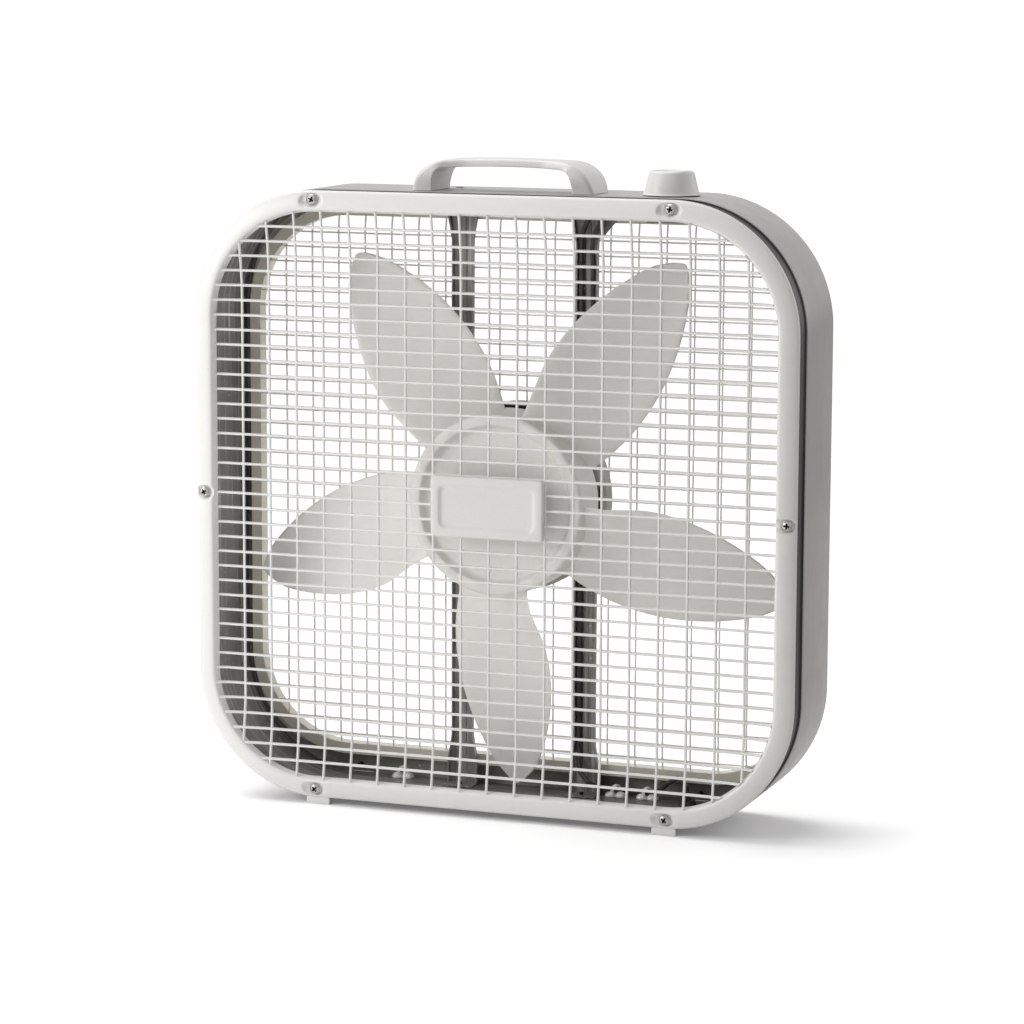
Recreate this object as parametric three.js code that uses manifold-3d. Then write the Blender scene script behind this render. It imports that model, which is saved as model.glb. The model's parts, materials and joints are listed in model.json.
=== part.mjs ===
// Box fan, 20 inch class: a steel body band between two moulded grilles, a five-blade propeller on a
// small motor that two pressed struts carry, a three-speed switch with its knob, and a carrying handle.
// Millimetres. X to the right seen from the front, -Y towards the front, +Z up.
// The origin is on the floor, under the middle of the body.

import * as THREE from 'three';
import { mergeVertices } from 'three/addons/utils/BufferGeometryUtils.js';
import Module from 'manifold-3d';

const wasm = await Module();
wasm.setup();

// ---------------------------------------------------------------- driving dimensions

const HALF_WIDTH = 264; // body outline, across
const HALF_HEIGHT = 258; // body outline, up and down
const CORNER = 108; // outer corner radius
const HALF_DEPTH = 55.5; // front face to middle
const FOOT_HEIGHT = 6;
const CENTRE_HEIGHT = HALF_HEIGHT + FOOT_HEIGHT;
const GAP = 0.3; // clearance between touching pieces

const FRONT = -HALF_DEPTH;
const BACK = HALF_DEPTH;

const SHEET = 1; // steel sheet of the band
const RING = 18; // width of the front bezel's face
const BEZEL_DEPTH = 6.5; // outer skirt of the bezel
const SKIRT_DEPTH = 13; // inner skirt of the bezel
const WALL = 2.5; // moulded wall
const NECK_STEP = 2; // the band's front stretch is this much smaller
const NECK_LENGTH = 18.2;
const REAR_RING = 3.6; // thickness of the rear grille's ring
const REAR_SIDE = 17.3; // its width at the sides
const REAR_TOP = 23.5; // its width at top and bottom
const REAR_CORNER = 82; // corner radius of its opening

const COLUMN = 24.64; // pitch of the grille's upright bars
const ROW = 12.625; // pitch of its level bars
const BAR = 2.4; // bar thickness
const LATTICE_FRONT = FRONT + 6.5; // middle plane of the front bars
const LATTICE_BACK = 42.4; // middle plane of the rear bars

const BADGE = { width: 98.6, height: 50.5, corner: 3 };
const FOOT = { x: 154.5, width: 21, depth: 12 };
const SCREW_SPOTS = [
  [-156, 250.4], [156, 250.4], [-256.6, 0], [256.6, 0], [-156, -250.4], [156, -250.4],
];
const SCREW = { shank: 1.8, head: 4.4, height: 2.1, length: 9, hole: 2.15 };
const POCKET = { outer: 7, inner: 4.9, front: 2.9, rear: 2.5, boss: 7.6 };

const BLADES = 5;
const FIRST_BLADE = 54; // degrees from +X, anticlockwise seen from the front
const HUB = { radius: 76.4, front: -36, back: 6, floor: -26.5, lip: 66, wall: 2.4, boss: 11, bossBack: -9 };
const BLADE_ROOT = 75.6;
const BLADE_TIP = 248;
const BLADE_THICK = 2.2;

const SHAFT = { radius: 4, front: -29.4, back: 37.5 };
const COVER = { radius: 80, front: 14, back: 33.7, taper: 3, wall: 1.6, opening: 41 };
const CORE = { half: 46, corner: 14, front: 16.6, back: 32.4, bore: 22.5 };
const BELL = { radius: 38, wall: 1.6, front: -6, back: 39.4, boss: 13.6 };
const BEARING = { radius: 11, length: 5.6 };
const MOUNT_PLATE = { halfWidth: 66, halfHeight: 22, front: 32.8, back: 33.8 };

const STRUT = { x: 55.6, width: 19, front: 34.1, back: 40.2, sheet: 1.2, rib: 4, flare: 27, flareLength: 46 };
const KNOB = { x: 140, radius: 23.5, top: 17.8, height: 19.6 };
const HANDLE = { foot: 80, inner: 61.5, height: 27, grip: 7.4, footDepth: 48, gripDepth: 27 };
const GLAND = { x: 150, y: 30, neck: 6.2, flange: 9 };
const CLIP = { y: 38, height: 5.4, spots: [-112, 84, 112] };
const LEAD = 4.4; // diameter of the two internal leads

// ---------------------------------------------------------------- materials

const finish = (color, roughness, metalness) => new THREE.MeshStandardMaterial({ color, roughness, metalness });
const WHITE = finish(0xe9e7e3, 0.45, 0);
const GREY_SHELL = finish(0x9d9a97, 0.5, 0.1);
const BLADE_GREY = finish(0xc9c6c0, 0.5, 0);
const BEIGE = finish(0xa8a091, 0.6, 0);
const STEEL = finish(0x55534f, 0.4, 0.9);
const BRIGHT = finish(0xc8c8c8, 0.3, 1);
const IRON = finish(0x4a4a4d, 0.6, 0.7);
const COPPER = finish(0xb06a3a, 0.35, 1);
const BLACK = finish(0x232323, 0.6, 0);
const CLEAR = finish(0xf2f2ee, 0.3, 0);

// ---------------------------------------------------------------- solids

// Turns a geometry into a closed solid whose faces point out.
function solid(geometry) {
  const bare = geometry.clone();
  bare.deleteAttribute('normal');
  bare.deleteAttribute('uv');
  const merged = mergeVertices(bare, 1e-4);
  const points = merged.attributes.position.array;
  const corners = [];
  const source = merged.index.array;
  for (let i = 0; i < source.length; i += 3) {
    const [a, b, c] = [source[i], source[i + 1], source[i + 2]];
    if (a !== b && b !== c && c !== a) corners.push(a, b, c);
  }
  if (signedVolume(points, corners) < 0) corners.reverse();
  return new wasm.Manifold(new wasm.Mesh({
    numProp: 3,
    vertProperties: new Float32Array(points),
    triVerts: new Uint32Array(corners),
  }));
}

function signedVolume(points, corners) {
  const at = (i) => new THREE.Vector3().fromArray(points, corners[i] * 3);
  let sum = 0;
  for (let i = 0; i < corners.length; i += 3) sum += at(i).dot(at(i + 1).cross(at(i + 2)));
  return sum;
}

const join = (...parts) => parts.reduce((whole, part) => whole.add(part));
const cut = (whole, ...parts) => parts.reduce((rest, part) => rest.subtract(part), whole);

// Rounded rectangle centred on the origin, as a shape's points or a hole's.
function roundedRect(target, halfX, halfY, radius) {
  const [x, y] = [halfX - radius, halfY - radius];
  target.absarc(x, y, radius, 0, Math.PI / 2);
  target.absarc(-x, y, radius, Math.PI / 2, Math.PI);
  target.absarc(-x, -y, radius, Math.PI, Math.PI * 1.5);
  target.absarc(x, -y, radius, Math.PI * 1.5, Math.PI * 2);
  target.closePath();
  return target;
}

// A shape drawn in X and Z, between two Y planes.
function slab(shape, front, back, steps = 4) {
  const geometry = new THREE.ExtrudeGeometry(shape, {
    depth: back - front, bevelEnabled: false, curveSegments: steps,
  });
  geometry.rotateX(Math.PI / 2);
  geometry.translate(0, back, 0);
  return solid(geometry);
}

const bodyShape = (inset) => roundedRect(
  new THREE.Shape(), HALF_WIDTH - inset, HALF_HEIGHT - inset, CORNER - inset,
);

// A flat band of the body's outline, from one inset to a deeper one.
function bodyRing(outerInset, innerInset, front, back) {
  const shape = bodyShape(outerInset);
  shape.holes.push(roundedRect(
    new THREE.Path(), HALF_WIDTH - innerInset, HALF_HEIGHT - innerInset, CORNER - innerInset,
  ));
  return slab(shape, front, back);
}

function box(x0, x1, y0, y1, z0, z1) {
  const geometry = new THREE.BoxGeometry(x1 - x0, y1 - y0, z1 - z0);
  geometry.translate((x0 + x1) / 2, (y0 + y1) / 2, (z0 + z1) / 2);
  return solid(geometry);
}

// A turned piece on the Y axis: profile points are [radius, y].
function turned(profile, segments = 24) {
  const points = profile.map(([radius, y]) => new THREE.Vector2(radius, y));
  if (profile[0][0] > 0) points.push(points[0].clone());
  return solid(new THREE.LatheGeometry(points, segments));
}

// The same, standing on the Z axis: profile points are [radius, z].
function upright(profile, segments = 24) {
  return turned(profile, segments).rotate([90, 0, 0]);
}

const rod = (radius, y0, y1, segments = 8) => turned([[0, y0], [radius, y0], [radius, y1], [0, y1]], segments);
const post = (radius, z0, z1, segments = 8) => upright([[0, z0], [radius, z0], [radius, z1], [0, z1]], segments);
const pipe = (inner, outer, y0, y1, segments = 24) => turned(
  [[inner, y0], [outer, y0], [outer, y1], [inner, y1]], segments,
);

// ---------------------------------------------------------------- scene graph

const fan = new THREE.Group();
const body = new THREE.Group();
body.position.z = CENTRE_HEIGHT;
fan.add(body);

function place(name, shape, material, position = [0, 0, 0]) {
  const mesh = shape.getMesh();
  const geometry = new THREE.BufferGeometry();
  geometry.setAttribute('position', new THREE.BufferAttribute(mesh.vertProperties, 3));
  geometry.setIndex(new THREE.BufferAttribute(mesh.triVerts, 1));
  geometry.computeVertexNormals();
  const part = new THREE.Mesh(geometry, material);
  part.name = name;
  part.position.set(...position);
  body.add(part);
}

// ---------------------------------------------------------------- grilles

// Upright and level bars between two Y planes, trimmed to an outline. Every second upright bar and
// every fourth level bar is here; the bars between them are fine surface.
function lattice(outline, middle) {
  const [front, back] = [middle - BAR / 2, middle + BAR / 2];
  const bars = [];
  for (let column = -8; column <= 8; column += 2) {
    const x = column * COLUMN;
    bars.push(box(x - BAR / 2, x + BAR / 2, front, back, -HALF_HEIGHT, HALF_HEIGHT));
  }
  for (let row = -18; row <= 18; row += 4) {
    const z = row * ROW;
    bars.push(box(-HALF_WIDTH, HALF_WIDTH, front, back, z - BAR / 2, z + BAR / 2));
  }
  return join(...bars).intersect(slab(outline, front - 1, back + 1));
}

// A foot tab under a bezel: it reaches from the bezel's plane towards the middle of the body.
function footTab(x, outerY, innerY) {
  const [front, back] = [Math.min(outerY, innerY), Math.max(outerY, innerY)];
  const halfWidth = FOOT.width / 2;
  return box(x - halfWidth, x + halfWidth, front, back, -CENTRE_HEIGHT, -HALF_HEIGHT - GAP);
}

// The hollow that a screw head sinks into: its mouth is at the origin, open towards -Y.
function pocket(depth) {
  return turned([[0, -1], [POCKET.outer, -1], [POCKET.outer, 0], [POCKET.inner, depth], [0, depth]], 12);
}

function frontGrille() {
  const bezel = cut(
    bodyRing(0, RING, FRONT, FRONT + BEZEL_DEPTH),
    bodyRing(WALL, RING - WALL, FRONT + WALL, FRONT + BEZEL_DEPTH + 1),
  );
  const skirt = bodyRing(RING - WALL, RING, FRONT + 1, FRONT + SKIRT_DEPTH);
  const bars = lattice(bodyShape(RING - 1), LATTICE_FRONT);
  const bosses = SCREW_SPOTS.map(([x, z]) => box(
    x - POCKET.boss, x + POCKET.boss, FRONT + 1, FRONT + BEZEL_DEPTH, z - POCKET.boss, z + POCKET.boss,
  ).intersect(bodyRing(WALL / 2, RING - WALL / 2, FRONT, BACK)));
  const pockets = SCREW_SPOTS.map(([x, z]) => pocket(POCKET.front).translate([x, FRONT, z]));
  const holes = SCREW_SPOTS.map(([x, z]) => rod(SCREW.hole, FRONT - 1, FRONT + BEZEL_DEPTH + 1)
    .translate([x, 0, z]));
  const feet = [-FOOT.x, FOOT.x].map((x) => join(
    footTab(x, FRONT, FRONT + FOOT.depth),
    box(x - FOOT.width / 2, x + FOOT.width / 2, FRONT, FRONT + BEZEL_DEPTH, -HALF_HEIGHT - 1, -HALF_HEIGHT + 2),
  ));
  return cut(join(bezel, skirt, bars, ...bosses, ...feet), ...pockets, ...holes);
}

const rearOpening = (target, inset) => roundedRect(
  target, HALF_WIDTH - REAR_SIDE + inset, HALF_HEIGHT - REAR_TOP + inset, REAR_CORNER + inset,
);

function rearGrille() {
  const ringShape = bodyShape(GAP);
  ringShape.holes.push(rearOpening(new THREE.Path(), 0));
  const skirtShape = rearOpening(new THREE.Shape(), WALL);
  skirtShape.holes.push(rearOpening(new THREE.Path(), 0));
  const ring = slab(ringShape, BACK - REAR_RING, BACK);
  const skirt = slab(skirtShape, LATTICE_BACK - BAR / 2, BACK - 1);
  const bars = lattice(rearOpening(new THREE.Shape(), 1), LATTICE_BACK);
  const pockets = SCREW_SPOTS.map(([x, z]) => pocket(POCKET.rear).rotate([0, 0, 180]).translate([x, BACK, z]));
  const holes = SCREW_SPOTS.map(([x, z]) => rod(SCREW.hole, BACK - 5, BACK + 1).translate([x, 0, z]));
  const feet = [-FOOT.x, FOOT.x].map((x) => join(
    footTab(x, BACK, BACK - FOOT.depth),
    box(x - FOOT.width / 2, x + FOOT.width / 2, BACK - REAR_RING, BACK, -HALF_HEIGHT - 1, -HALF_HEIGHT + 2),
  ));
  return cut(join(ring, skirt, bars, ...feet), ...pockets, ...holes);
}

// Pan-head screw, its head at the origin facing -Y and its shank along +Y.
function screw() {
  const { shank, head, height, length } = SCREW;
  return turned([
    [0, -height], [head * 0.55, -height], [head, -height * 0.35], [head, 0], [shank, 0],
    [shank, length], [0, length],
  ], 8);
}

place('front_grille', frontGrille(), WHITE);
place('rear_grille', rearGrille(), BEIGE);
SCREW_SPOTS.forEach(([x, z], i) => {
  place(`front_screw_${i + 1}`, screw(), BRIGHT, [x, FRONT + POCKET.front - GAP, z]);
  place(`rear_screw_${i + 1}`, screw().rotate([0, 0, 180]), BRIGHT, [x, BACK - POCKET.rear + GAP, z]);
});

// A plain plate with a sunk panel, in front of the middle bars.
function badgePlate() {
  const [halfX, halfZ] = [BADGE.width / 2, BADGE.height / 2];
  const plate = roundedRect(new THREE.Shape(), halfX, halfZ, BADGE.corner);
  const panel = roundedRect(new THREE.Shape(), halfX - 8, halfZ - 7, BADGE.corner * 2);
  const back = LATTICE_FRONT - BAR / 2 - GAP;
  return cut(slab(plate, FRONT, back, 2), slab(panel, FRONT - 1, FRONT + 1.5, 2));
}

place('badge_plate', badgePlate(), WHITE);

// ---------------------------------------------------------------- body band

function bodyBand() {
  const neckFront = FRONT + BEZEL_DEPTH + GAP;
  const step = neckFront + NECK_LENGTH;
  const back = BACK - REAR_RING - GAP;
  const neckOut = NECK_STEP;
  const band = join(
    bodyRing(neckOut, RING - WALL - 0.5, neckFront, neckFront + SHEET),
    bodyRing(neckOut, neckOut + SHEET, neckFront, step + SHEET),
    bodyRing(0, neckOut + SHEET, step, step + SHEET),
    bodyRing(0, SHEET, step, back),
    bodyRing(0, SHEET + 6, back - SHEET, back),
  );
  // Ears on the rear flange take the rear screws.
  const ears = SCREW_SPOTS.map(([x, z]) => box(x - 8, x + 8, back - SHEET, back, z - 8, z + 8)
    .intersect(bodyRing(0.5, REAR_SIDE - WALL - 0.5, FRONT, BACK)));
  const screwHoles = SCREW_SPOTS.flatMap(([x, z]) => [
    rod(SCREW.hole, neckFront - 1, neckFront + 2).translate([x, 0, z]),
    rod(SCREW.hole, back - 2, back + 1).translate([x, 0, z]),
  ]);
  const strutHoles = [-1, 1].flatMap((side) => [-HALF_HEIGHT, HALF_HEIGHT].map(
    (z) => post(SCREW.hole, z - 3, z + 3).translate([side * STRUT.x, STRUT.front - 5, 0]),
  ));
  const handleHoles = [-1, 1].map((side) => post(SCREW.hole, HALF_HEIGHT - 3, HALF_HEIGHT + 1)
    .translate([side * (HANDLE.foot + HANDLE.inner) / 2, 0, 0]));
  const switchHole = post(5.4, HALF_HEIGHT - 3, HALF_HEIGHT + 1, 16).translate([KNOB.x, 0, 0]);
  const glandHole = post(GLAND.neck + GAP, -HALF_HEIGHT - 1, -HALF_HEIGHT + 3, 16)
    .translate([GLAND.x, GLAND.y, 0]);
  return cut(join(band, ...ears), ...screwHoles, ...strutHoles, ...handleHoles, switchHole, glandHole);
}

place('housing_band', bodyBand(), GREY_SHELL);

// ---------------------------------------------------------------- propeller

// Blade edges as [radius, distance round the axis]: the leading edge is on the clockwise side.
const LEADING_EDGE = [[75, -43], [95, -48.5], [125, -52.5], [160, -49.5], [195, -38.5], [228, -21], [248, -1]];
const TRAILING_EDGE = [[75, 26], [95, 30.5], [130, 40.5], [165, 41], [200, 33.5], [230, 21], [248, 1]];

function edgeAt(edge, radius) {
  const curve = new THREE.SplineCurve(edge.map(([r, s]) => new THREE.Vector2(r, s)));
  const points = curve.getPoints(60);
  const next = Math.max(1, points.findIndex((p) => p.x >= radius));
  const [a, b] = [points[next - 1], points[next] ?? points[points.length - 1]];
  const t = b.x === a.x ? 0 : (radius - a.x) / (b.x - a.x);
  return a.y + (b.y - a.y) * Math.min(1, Math.max(0, t));
}

// Depth of the leading and trailing edges: both lean back towards the tip, which takes the twist out.
const leadingDepth = (radius) => 3.8 + 0.117 * (radius - 95);
const trailingDepth = (radius) => -28.8 + 0.321 * Math.max(0, radius - 95);

function bladePoint(radius, across, side) {
  const lead = edgeAt(LEADING_EDGE, radius);
  const trail = edgeAt(TRAILING_EDGE, radius);
  const angle = (lead + (trail - lead) * across) / radius;
  const bow = 4 * across * (1 - across);
  const chord = trail - lead;
  const depth = THREE.MathUtils.lerp(leadingDepth(radius), trailingDepth(radius), across);
  const thick = BLADE_THICK * (0.35 + 0.65 * Math.sqrt(bow)) / 2;
  const camber = 0.05 * chord * bow;
  return new THREE.Vector3(radius * Math.cos(angle), depth + camber + side * thick, radius * Math.sin(angle));
}

function blade() {
  const [stations, strips] = [9, 4];
  const positions = [];
  const corners = [];
  const sides = [-1, 1];
  const at = (station, strip, side) => ((side + 1) / 2 * (stations + 1) + station) * (strips + 1) + strip;
  for (const side of sides) {
    for (let i = 0; i <= stations; i += 1) {
      const radius = BLADE_ROOT + (BLADE_TIP - BLADE_ROOT) * Math.sin((i / stations) * Math.PI / 2) ** 0.85;
      for (let j = 0; j <= strips; j += 1) positions.push(...bladePoint(radius, j / strips, side).toArray());
    }
  }
  const quad = (a, b, c, d) => corners.push(a, b, c, a, c, d);
  for (let i = 0; i < stations; i += 1) {
    for (let j = 0; j < strips; j += 1) {
      quad(at(i, j, 1), at(i + 1, j, 1), at(i + 1, j + 1, 1), at(i, j + 1, 1));
      quad(at(i, j, -1), at(i, j + 1, -1), at(i + 1, j + 1, -1), at(i + 1, j, -1));
    }
    quad(at(i, 0, -1), at(i + 1, 0, -1), at(i + 1, 0, 1), at(i, 0, 1));
    quad(at(i, strips, -1), at(i, strips, 1), at(i + 1, strips, 1), at(i + 1, strips, -1));
  }
  for (let j = 0; j < strips; j += 1) {
    quad(at(0, j, -1), at(0, j, 1), at(0, j + 1, 1), at(0, j + 1, -1));
    quad(at(stations, j, -1), at(stations, j + 1, -1), at(stations, j + 1, 1), at(stations, j, 1));
  }
  const geometry = new THREE.BufferGeometry();
  geometry.setAttribute('position', new THREE.Float32BufferAttribute(positions, 3));
  geometry.setIndex(corners);
  return solid(geometry);
}

function propeller() {
  const { radius, front, back, floor, lip, wall, boss, bossBack } = HUB;
  const bore = SHAFT.radius + GAP;
  const hub = turned([
    [bore, floor], [lip - 4, floor], [lip, front], [radius - 3, front], [radius, front + 3],
    [radius, back], [radius - wall, back], [radius - wall, front + 4], [radius - 4.4, front + wall],
    [lip + 1.2, front + wall], [lip - 2.8, floor + wall], [boss, floor + wall], [boss, bossBack],
    [bore, bossBack],
  ], 30);
  // Blades are cut off inside the hub's wall.
  const inside = rod(radius - 1, -HALF_DEPTH, HALF_DEPTH, 30);
  const single = blade();
  const blades = [];
  for (let i = 0; i < BLADES; i += 1) {
    const angle = FIRST_BLADE + (360 / BLADES) * i;
    blades.push(single.rotate([0, -angle, 0]).subtract(inside));
  }
  return join(hub, ...blades);
}

place('propeller', propeller(), BLADE_GREY);
place('hub_clip', pipe(SHAFT.radius + 0.2, 9, HUB.floor - 1.9, HUB.floor - GAP, 14), BRIGHT);
place('motor_shaft', rod(SHAFT.radius, SHAFT.front, SHAFT.back, 16), BRIGHT);

// ---------------------------------------------------------------- motor

function motorCover() {
  const { radius, front, back, taper, wall, opening } = COVER;
  const pan = turned([
    [opening, front], [radius - taper, front], [radius, back], [radius - wall, back],
    [radius - taper - wall, front + wall], [opening, front + wall],
  ], 32);
  // Cooling slots near the rim of the front face.
  const slots = [];
  for (let i = 0; i < 8; i += 1) {
    slots.push(box(-14, 14, front - 1, front + wall + 1, 66, 70).rotate([0, i * 45, 0]));
  }
  return cut(pan, ...slots);
}

function bell(front, back, closedAtFront) {
  const { radius, wall, boss } = BELL;
  const bore = SHAFT.radius + 0.5;
  const seat = BEARING.radius + GAP;
  const [shut, open] = closedAtFront ? [front, back] : [back, front];
  const inward = Math.sign(open - shut);
  return turned([
    [bore, shut], [radius - 4, shut], [radius, shut + inward * 3], [radius, open], [radius - wall, open],
    [radius - wall, shut + inward * 3.4], [radius - 5, shut + inward * wall],
    [boss, shut + inward * wall], [boss, shut + inward * 6], [seat, shut + inward * 6],
    [seat, shut + inward * wall * 0.5], [bore, shut + inward * wall * 0.5],
  ], 20);
}

function rearBell() {
  const { halfWidth, halfHeight, front, back } = MOUNT_PLATE;
  const plate = cut(
    box(-halfWidth, halfWidth, front, back, -halfHeight, halfHeight),
    rod(BELL.radius - 1, front - 1, back + 1, 20),
  );
  const holes = mountSpots().map(([x, z]) => rod(SCREW.hole, front - 1, back + 1).translate([x, 0, z]));
  return cut(join(bell(front, BELL.back, false), plate), ...holes);
}

function mountSpots() {
  return [-1, 1].flatMap((side) => [-14, 14].map((z) => [side * STRUT.x, z]));
}

function statorCore() {
  const shape = roundedRect(new THREE.Shape(), CORE.half, CORE.half, CORE.corner);
  return cut(slab(shape, CORE.front, CORE.back, 2), rod(CORE.bore, CORE.front - 1, CORE.back + 1, 20));
}

// One end winding: a ring sector standing out of the front of the core.
function endWinding() {
  const ring = pipe(25, 35, 5.5, CORE.front - GAP, 24);
  const half = 16;
  return ring.intersect(box(-half, half, 0, CORE.front, 12, 40));
}

place('motor_cover', motorCover(), BEIGE);
place('motor_front_bell', bell(BELL.front, CORE.front - GAP, true), BRIGHT);
place('motor_rear_bell', rearBell(), BRIGHT);
place('stator_core', statorCore(), IRON);
place('rotor_core', pipe(SHAFT.radius + 0.1, CORE.bore - 0.5, CORE.front + GAP, CORE.back - GAP, 20), IRON);
for (let i = 0; i < 4; i += 1) {
  place(`stator_coil_${i + 1}`, endWinding().rotate([0, i * 90, 0]), COPPER);
}
const bearingSeat = BELL.wall * 0.5 + GAP;
const bearing = pipe(SHAFT.radius + 0.1, BEARING.radius, 0, BEARING.length, 14);
place('front_bearing', bearing, BRIGHT, [0, BELL.front + bearingSeat, 0]);
place('rear_bearing', bearing, BRIGHT, [0, BELL.back - bearingSeat - BEARING.length, 0]);

// ---------------------------------------------------------------- struts

function strut(side) {
  const { width, front, back, sheet, rib, flare, flareLength } = STRUT;
  const half = width / 2;
  const reach = HALF_HEIGHT - SHEET - GAP;
  const ribFront = (front + back) / 2 + 1;
  const outline = new THREE.Shape([
    [-half, front], [-half + sheet, front], [-half + sheet, back - sheet], [-rib / 2, back - sheet],
    [-rib / 2, ribFront], [rib / 2, ribFront], [rib / 2, back - sheet], [half - sheet, back - sheet],
    [half - sheet, front], [half, front], [half, back], [-half, back],
  ].map(([x, y]) => new THREE.Vector2(x, y)));
  const channel = solid(new THREE.ExtrudeGeometry(outline, { depth: reach * 2, bevelEnabled: false }))
    .translate([0, 0, -reach]);
  const ends = [-1, 1].flatMap((end) => {
    const wing = new THREE.Shape([
      [-half, reach - flareLength], [half, reach - flareLength], [flare / 2, reach - flareLength / 2],
      [flare / 2, reach], [-flare / 2, reach], [-flare / 2, reach - flareLength / 2],
    ].map(([x, z]) => new THREE.Vector2(x, z * end)));
    const footEdge = end * (reach - sheet);
    return [
      slab(wing, back - sheet, back),
      box(-flare / 2, flare / 2, front - 12, back, Math.min(footEdge, end * reach), Math.max(footEdge, end * reach)),
    ];
  });
  const footHole = post(SCREW.hole, -HALF_HEIGHT, HALF_HEIGHT).translate([0, front - 5, 0]);
  const bolts = [-14, 14].map((z) => rod(SCREW.hole, front - 1, back + 1).translate([0, 0, z]));
  return cut(join(channel, ...ends), footHole, ...bolts).translate([side * STRUT.x, 0, 0]);
}

place('strut_left', strut(-1), STEEL);
place('strut_right', strut(1), STEEL);

// Short screws hold the strut feet to the band, from outside.
const shortScrew = turned([[0, -1.8], [2.4, -1.8], [3.6, -0.6], [3.6, 0], [1.8, 0], [1.8, 5], [0, 5]], 12);
[[-1, 1], [1, 1], [-1, -1], [1, -1]].forEach(([side, end], i) => {
  const turnedIn = shortScrew.rotate([end > 0 ? -90 : 90, 0, 0]);
  place(`strut_screw_${i + 1}`, turnedIn, BRIGHT,
    [side * STRUT.x, STRUT.front - 5, end * (HALF_HEIGHT + GAP)]);
});

// Bolts hold the motor's rear plate to the struts.
mountSpots().forEach(([x, z], i) => {
  const bolt = turned([[0, -2.4], [3.4, -2.4], [3.4, 0], [1.8, 0], [1.8, 7], [0, 7]], 6);
  place(`motor_bolt_${i + 1}`, bolt, BRIGHT, [x, MOUNT_PLATE.front - GAP, z]);
});

// ---------------------------------------------------------------- switch and knob

const top = HALF_HEIGHT;

function switchBody() {
  const caseTop = top - SHEET - GAP;
  const shell = box(-16, 16, -14, 14, caseTop - 20, caseTop);
  const bushing = post(5, caseTop - 1, top + 4.5, 16);
  return cut(join(shell, bushing), post(3.3, caseTop - 12, top + 6, 16));
}

function knobShape() {
  const { radius, top: topRadius, height } = KNOB;
  const [cavity, ceiling] = [13, 9];
  return upright([
    [cavity, 0], [radius, 0], [radius - 0.6, 2], [topRadius, height - 3], [topRadius - 2.4, height - 0.6],
    [topRadius - 6, height], [0, height], [0, height - 4], [3.3, height - 4], [3.3, ceiling], [cavity, ceiling],
  ], 24);
}

const switchAt = [KNOB.x, 0, 0];
place('switch_body', switchBody(), BLACK, switchAt);
place('switch_nut', cut(post(8, top + GAP, top + 3, 6), post(5.3, top - 1, top + 4, 16)), BRIGHT, switchAt);
place('switch_shaft', post(3, top - 12, top + 0.8 + KNOB.height - 4.6, 14), BRIGHT, switchAt);
place('knob', knobShape(), WHITE, [KNOB.x, 0, top + 0.8]);

// ---------------------------------------------------------------- handle

// Seen from above: broad feet with round ends, and a slimmer grip between them.
function handleOutline() {
  const { foot, footDepth, gripDepth } = HANDLE;
  const roundEnd = 14;
  const steps = 22;
  const halfDepth = (x) => {
    const spread = THREE.MathUtils.smoothstep(Math.abs(x), 32, 64);
    const flat = THREE.MathUtils.lerp(gripDepth / 2, footDepth / 2, spread);
    const past = Math.max(0, Math.abs(x) - foot + roundEnd) / (roundEnd + 1);
    return flat - (footDepth / 4) * (1 - Math.sqrt(Math.max(0, 1 - past * past)));
  };
  const front = [];
  for (let i = 0; i <= steps; i += 1) {
    const x = -Math.cos((i / steps) * Math.PI) * (foot + 1);
    front.push(new THREE.Vector2(x, -halfDepth(x)));
  }
  const rear = front.map((point) => new THREE.Vector2(point.x, -point.y)).reverse();
  return [...front, ...rear];
}

function handle() {
  const { foot, inner, height, grip, footDepth } = HANDLE;
  const side = new THREE.Shape();
  side.moveTo(-foot, 0);
  side.bezierCurveTo(-foot + 2, 14, -foot + 8, height - 3, -foot + 24, height - 1.5);
  side.quadraticCurveTo(0, height + 2, foot - 24, height - 1.5);
  side.bezierCurveTo(foot - 8, height - 3, foot - 2, 14, foot, 0);
  side.lineTo(inner, 0);
  side.bezierCurveTo(inner - 1, 12, inner - 4, height - grip - 1, inner - 15, height - grip - 0.6);
  side.quadraticCurveTo(0, height - grip + 2, -inner + 15, height - grip - 0.6);
  side.bezierCurveTo(-inner + 4, height - grip - 1, -inner + 1, 12, -inner, 0);
  const plan = new THREE.Shape(handleOutline());
  const planSolid = solid(new THREE.ExtrudeGeometry(plan, { depth: 60, bevelEnabled: false }))
    .translate([0, 0, -10]);
  const holes = [-1, 1].map((end) => post(SCREW.hole, -1, 11).translate([end * (foot + inner) / 2, 0, 0]));
  return cut(slab(side, -footDepth, footDepth, 4).intersect(planSolid), ...holes);
}

place('handle', handle(), WHITE, [0, 0, top + GAP]);
[-1, 1].forEach((end, i) => {
  const x = end * (HANDLE.foot + HANDLE.inner) / 2;
  const head = top - SHEET - GAP;
  const shape = upright([[0, -2], [3.6, -2], [3.6, 0], [1.8, 0], [1.8, 11], [0, 11]], 12);
  place(`handle_screw_${i + 1}`, shape, BRIGHT, [x, 0, head]);
});

// ---------------------------------------------------------------- wiring

// A lead of round section along smooth points.
function lead(points, diameter, steps) {
  const path = new THREE.CatmullRomCurve3(points.map((p) => new THREE.Vector3(...p)), false, 'centripetal');
  const section = new THREE.Shape();
  section.absarc(0, 0, diameter / 2, 0, Math.PI * 2);
  return solid(new THREE.ExtrudeGeometry(section, { steps, curveSegments: 4, extrudePath: path }));
}

function gland() {
  const { neck, flange } = GLAND;
  const base = -top;
  return upright([
    [3, base - 3], [flange - 1, base - 3], [flange, base - GAP], [neck, base - GAP],
    [neck, base + SHEET + GAP], [neck + 1.6, base + SHEET + GAP], [neck, base + 6], [3, base + 6],
  ], 14);
}

const floor = -top + SHEET;

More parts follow.
